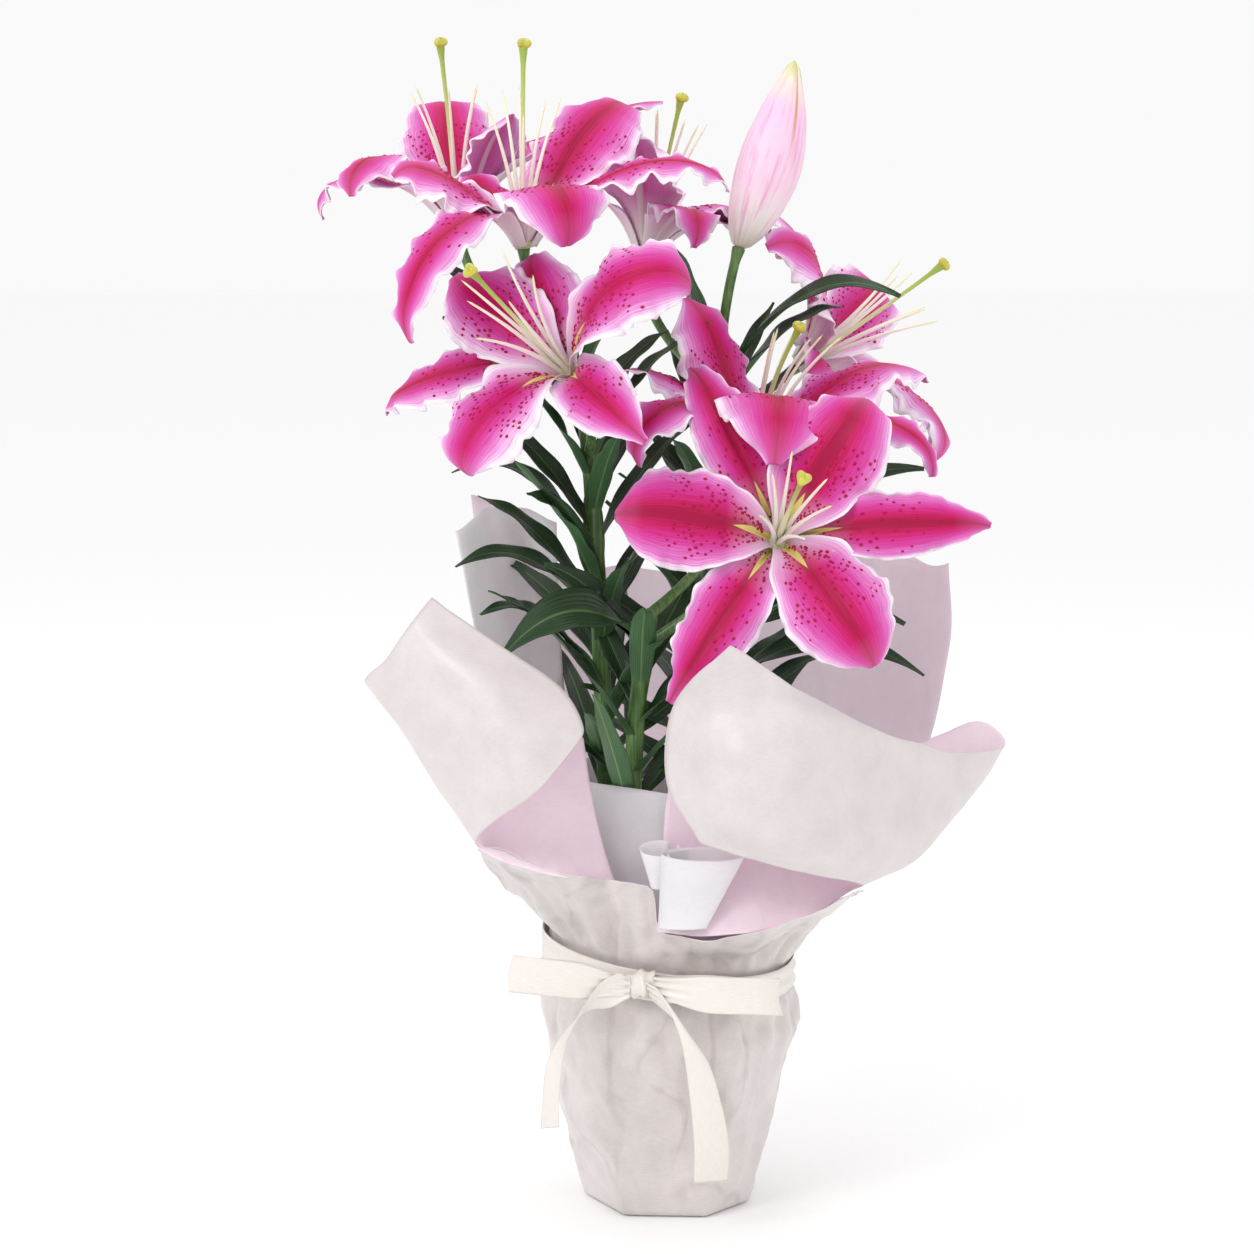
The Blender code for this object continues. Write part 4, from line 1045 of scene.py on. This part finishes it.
def wrap():
    """The wrap: a flat cornered bottom, creased sides, gathers at the tied neck and the flare above it."""
    heights = (0.0, 0.0, 0.012, 0.030, 0.052, 0.078, 0.104, 0.121, 0.130, NECK_HEIGHT, 0.143, 0.152)
    radii = (0.0, 0.0440, 0.0475, 0.0520, 0.0570, 0.0630, 0.0672, 0.0655, 0.0630, NECK_RADIUS, 0.0625, 0.0660)
    square = (1, 1, 0.95, 0.8, 0.6, 0.35, 0.15, 0, 0, 0, 0, 0)
    rows = len(heights) - 1
    flare_share = 0.30
    gathers = [(draw.uniform(0, math.tau), turns, size) for turns, size in ((17, 0.5), (29, 0.35), (41, 0.2))]

    def gather(azimuth):
        """How far the paper is gathered out or in at this azimuth."""
        return sum(size * math.sin(turns * math.radians(azimuth) + phase) for phase, turns, size in gathers)

    def place(u, v):
        azimuth = v * 360 % 360
        angle = math.radians(azimuth)
        body = min(u / (1 - flare_share), 1) * rows
        index = min(int(body), rows - 1)
        t = body - index
        radius = radii[index] + (radii[index + 1] - radii[index]) * t
        height = heights[index] + (heights[index + 1] - heights[index]) * t
        flatness = square[index] + (square[index + 1] - square[index]) * t
        radius += (corner_radius(azimuth, radius) - radius) * flatness
        share = max(0, (u - (1 - flare_share)) / flare_share)
        if share:
            radius += (eased([(at, out) for at, out, _ in FLARE], azimuth) - radius) * share**1.2
            height += (eased([(at, up) for at, _, up in FLARE], azimuth) - height) * share**0.9
        near_tie = math.exp(-(((height - NECK_HEIGHT) / 0.011) ** 2))
        above = smooth((height - NECK_HEIGHT - 0.006) / 0.014) * (1 - 0.75 * share)
        below = smooth((NECK_HEIGHT - 0.006 - height) / 0.012) * smooth((height - 0.065) / 0.06)
        radius += gather(azimuth) * (0.0010 * near_tie + 0.0046 * above + 0.0026 * below)
        height += neck_line(angle) * smooth((height - 0.075) / 0.045) * (1 - share)
        return polar(radius, angle, height + SHEET)

    bm = bmesh.new()
    verts = patch(bm, 84, 240, place)
    bmesh.ops.remove_doubles(bm, verts=verts, dist=MERGE_GAP)

    def free(spot):
        """How freely the paper creases here: not on its bottom, and not under the band."""
        above_tie = spot.z - NECK_HEIGHT - neck_line(math.atan2(spot.y, spot.x))
        return smooth((spot.z - 0.004) / 0.02) * (1 - math.exp(-((above_tie / 0.016) ** 2)))

    crumple(bm.verts[:], 0.030, 0.0036, free)
    piece("paper_wrap", bm, (PINK_PAPER, PEARL_CREASED), "paper", ["pot_cover"], SHEET)


def net(name, points, along, across, materials, slot, crease, waves=0.0, edge=None):
    """A sheet of paper through a net of points, creased, with waves that grow towards its free edge."""
    phase = draw.uniform(0, math.tau)

    def place(u, v):
        spot = through([through(row, v) for row in points], u)
        swell = waves * smooth((u - 0.4) / 0.6) * math.sin(math.tau * 2.3 * v + phase)
        return spot + Vector((0, swell, 0.4 * swell + (edge(v) * smooth((u - 0.5) * 2) if edge else 0)))

    bm = bmesh.new()
    crumple(patch(bm, along, across, place), 0.042, crease)
    piece(f"{name}_paper", bm, materials, slot, [name], SHEET)


def sleeve():
    """The white tissue sleeve round the stems, not quite round, with a soft uneven rim."""
    low, high = SLEEVE
    inner, outer = SLEEVE_RADII

    def place(u, v):
        angle = v * math.tau
        folds = 0.0007 * math.sin(5 * angle + 1) + 0.0006 * math.sin(11 * angle)
        rim = 0.0020 * math.sin(3 * angle + 2) * u
        return polar(inner + (outer - inner) * u - 0.0008 + folds * u, angle, low + (high - low) * u + rim)

    bm = bmesh.new()
    verts = patch(bm, 30, 120, place)
    bmesh.ops.remove_doubles(bm, verts=verts, dist=MERGE_GAP)
    crumple(bm.verts[:], 0.03, 0.0008)
    piece("sleeve_paper", bm, (WHITE_PAPER, WHITE_PAPER), "white_paper", ["inner_sleeve"], SHEET)


def front_roll():
    """A cone of white paper rolled over itself in front, and the curled end of another sheet beside it."""

    def cone(u, v):
        """The roll: narrow below, wide above, and wound a turn and a quarter."""
        turn = math.radians(-250 + 450 * v)
        middle = Vector((0.0060, -0.0880, 0.166)).lerp(Vector((0.0170, -0.0870, 0.2035)), u)
        wide = 0.0125 + 0.0095 * u
        spiral = 1 - 0.16 * v
        return middle + Vector((math.cos(turn) * wide * spiral, math.sin(turn) * wide * 0.40 * spiral,
                                0.0018 * math.sin(turn) * u))

    def curl(u, v):
        """The curled end beside it."""
        turn = math.radians(60 + 330 * v)
        middle = Vector((-0.0060, -0.0780, 0.184)).lerp(Vector((-0.0055, -0.0780, 0.2045)), u)
        return middle + Vector((math.cos(turn) * (0.0035 + 0.0065 * u), math.sin(turn) * (0.003 + 0.002 * u),
                                0.003 * math.sin(turn) * u))

    bm = bmesh.new()
    crumple(patch(bm, 30, 90, cone), 0.03, 0.0004)
    patch(bm, 20, 30, curl)
    piece("front_roll_paper", bm, (WHITE_PAPER, WHITE_PAPER), "white_paper", ["front_roll"], SHEET)


def papers():
    """Every sheet of paper round the plant."""
    wrap()
    sleeve()
    net("left_wing", LEFT_SHEET, 56, 84, (PINK_PAPER, PEARL), "paper", 0.0014, 0.001)
    net("right_wing", RIGHT_SHEET, 64, 110, (PEARL, PINK_PAPER), "paper", 0.0014, 0.001)
    net("back_sheet", BACK_SHEET, 64, 96, (PEARL, PINK_PAPER), "paper", 0.0018, 0.004,
        lambda v: 0.006 * math.sin(v * 17 + 1.2))
    net("white_sheet", WHITE_SHEET, 30, 30, (WHITE_PAPER, WHITE_PAPER), "white_paper", 0.0014, 0.002)
    front_roll()


# ---------------------------------------------------------------- ribbon

RIBBON = 0.0003


def ribbon_length(points):
    """The length of a run of ribbon, along its middle."""
    steps = [through(points, step / 40) for step in range(41)]
    return sum((second - first).length for first, second in zip(steps, steps[1:]))


def satin_piece(name, along, across, place, length):
    """A length of ribbon laid through place(u, v)."""
    bm = bmesh.new()
    patch(bm, along, across, place, size=(length, RIBBON_WIDTH))
    obj = piece(f"{name}_satin", bm, (SATIN, SATIN), "ribbon", [name], RIBBON)


def strip(name, points, first, last, pinch=(0.0, 0.0), slant=0.0):
    """A length of satin whose width turns from the first direction to the last. Each end may be pinched in
    pleats, and the far one may be cut on a slant."""
    first = Vector(first).normalized()
    last = Vector(last).normalized()
    length = ribbon_length(points)
    phase = draw.uniform(0, math.tau)

    def place(u, v):
        side = v - 0.5
        along = u - slant * side * u**4
        width_way = first.slerp(last, u)
        ahead = (through(points, along + 0.01) - through(points, along - 0.01)).normalized()
        facing_out = ahead.cross(width_way).normalized()
        gathered = pinch[0] * smooth(1 - u * 5) + pinch[1] * smooth(1 - (1 - u) * 5)
        width = RIBBON_WIDTH * (1 - 0.5 * gathered)
        pleats = 0.0011 * gathered * math.sin(side * math.tau * 3)
        cup = 0.0016 * (side * 2) ** 2 * math.sin(u * math.pi)
        ripple = 0.0006 * math.sin(u * 9 + phase) * side * 2
        return through(points, along) + width_way * side * width + facing_out * (pleats + cup + ripple)

    satin_piece(name, 72, 18, place, length)


def band():
    """The ribbon's turn round the neck, crushed narrower than it is wide, with long soft pleats."""
    radius = NECK_RADIUS + 0.0042
    narrowed = 0.78

    def place(u, v):
        angle = u * math.tau
        side = v - 0.5
        pleats = 0.0007 * math.sin(side * math.tau * 2 + 3 * math.sin(2 * angle))
        height = NECK_HEIGHT + neck_line(angle) + side * RIBBON_WIDTH * narrowed
        return polar(radius + pleats, angle, height)

    satin_piece("ribbon_band", 160, 14, place, math.tau * radius)


def knot():
    """The knot: the ribbon taken once round the bow's middle, its width crushed into pleats."""
    deep, tall, wide = 0.0062, 0.0068, 0.0138
    length = math.tau * (deep + tall) / 2

    def place(u, v):
        angle = u * math.tau
        side = v - 0.5
        pleats = 0.0007 * math.sin(side * math.tau * 2.2 + 1.2 * math.sin(angle))
        pull = 1 - 1.1 * side * side
        out = Vector((0, math.cos(angle) * (deep * pull + pleats), math.sin(angle) * (tall * pull + pleats)))
        lean = Vector((side * wide * (1 + 0.12 * math.sin(angle)), 0, side * 0.002))
        return KNOT + out + lean

    satin_piece("ribbon_knot", 64, 40, place, length)


def ribbon():
    """The bow: two loops and two tails, the band that ties the neck, and the knot over them."""
    strip("left_loop", LEFT_LOOP, (0.05, 0, 1), (0.05, 0, 1), (0.9, 0.9))
    strip("right_loop", RIGHT_LOOP, (-0.05, 0, 1), (-0.05, 0, 1), (0.9, 0.9))
    strip("left_tail", LEFT_TAIL, (0.1, 0.1, 1), (0.5, -0.85, 0.1), (0.9, 0), 0.05)
    strip("right_tail", RIGHT_TAIL, (-0.3, 0.1, 1), (-1, -0.35, -0.1), (0.9, 0), 0.03)
    band()
    knot()


# ---------------------------------------------------------------- the plant and its stage


def studio():
    """A pale floor, soft light from both sides and above, and the camera."""
    bm = bmesh.new()
    bmesh.ops.create_grid(bm, x_segments=1, y_segments=1, size=12)
    mesh = bpy.data.meshes.new("floor")
    bm.to_mesh(mesh)
    bm.free()
    floor = bpy.data.objects.new("floor", mesh)
    bpy.context.scene.collection.objects.link(floor)
    made, tree = material("floor_paint_rolled", 0.9)
    place = node(tree, "TexCoord")
    tooth = node(tree, "TexNoise", {0: place.outputs["Object"], "Scale": 300.0})
    field = node(tree, "ValToRGB", {0: tooth}, stops=((0.3, "#fdfdfd"), (0.7, "#ffffff")))
    mesh.materials.append(covered(made, field))
    floor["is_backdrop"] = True

    world = bpy.data.worlds.new("studio")
    world.use_nodes = True
    world.node_tree.nodes["Background"].inputs["Color"].default_value = (1, 1, 1, 1)
    world.node_tree.nodes["Background"].inputs["Strength"].default_value = 0.95
    bpy.context.scene.world = world
    for name, place, size, power in (
        ("key", (-1.1, -1.5, 1.7), 0.8, 15),
        ("fill", (1.5, -1.0, 0.9), 1.2, 2),
        ("top", (0.2, 0.4, 2.0), 1.2, 4),
    ):
        light = bpy.data.lights.new(name, "AREA")
        light.energy = power
        light.size = size
        lamp = bpy.data.objects.new(name, light)
        lamp.location = place
        lamp.rotation_euler = (Vector((0, 0, 0.3)) - Vector(place)).to_track_quat("-Z", "Y").to_euler()
        bpy.context.scene.collection.objects.link(lamp)

    camera = bpy.data.cameras.new("camera")
    camera.lens = 96.6
    camera.sensor_width = 36
    view = bpy.data.objects.new("camera", camera)
    view.location = (-0.022, -1.733, 0.549)
    view.rotation_euler = (math.radians(82), 0, 0)
    bpy.context.scene.collection.objects.link(view)
    bpy.context.scene.camera = view
    bpy.context.scene.view_settings.view_transform = "Standard"


pot()
soil()
for stem in STEMS:
    stem_and_leaves(stem)
for lily_name, facts in LILIES.items():
    lily(lily_name, *facts)
bud()
papers()
ribbon()
studio()

boxes = {"cad": cad_box, "visual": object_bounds()}
{name: [list(corner) for corner in box] for name, box in boxes.items()}
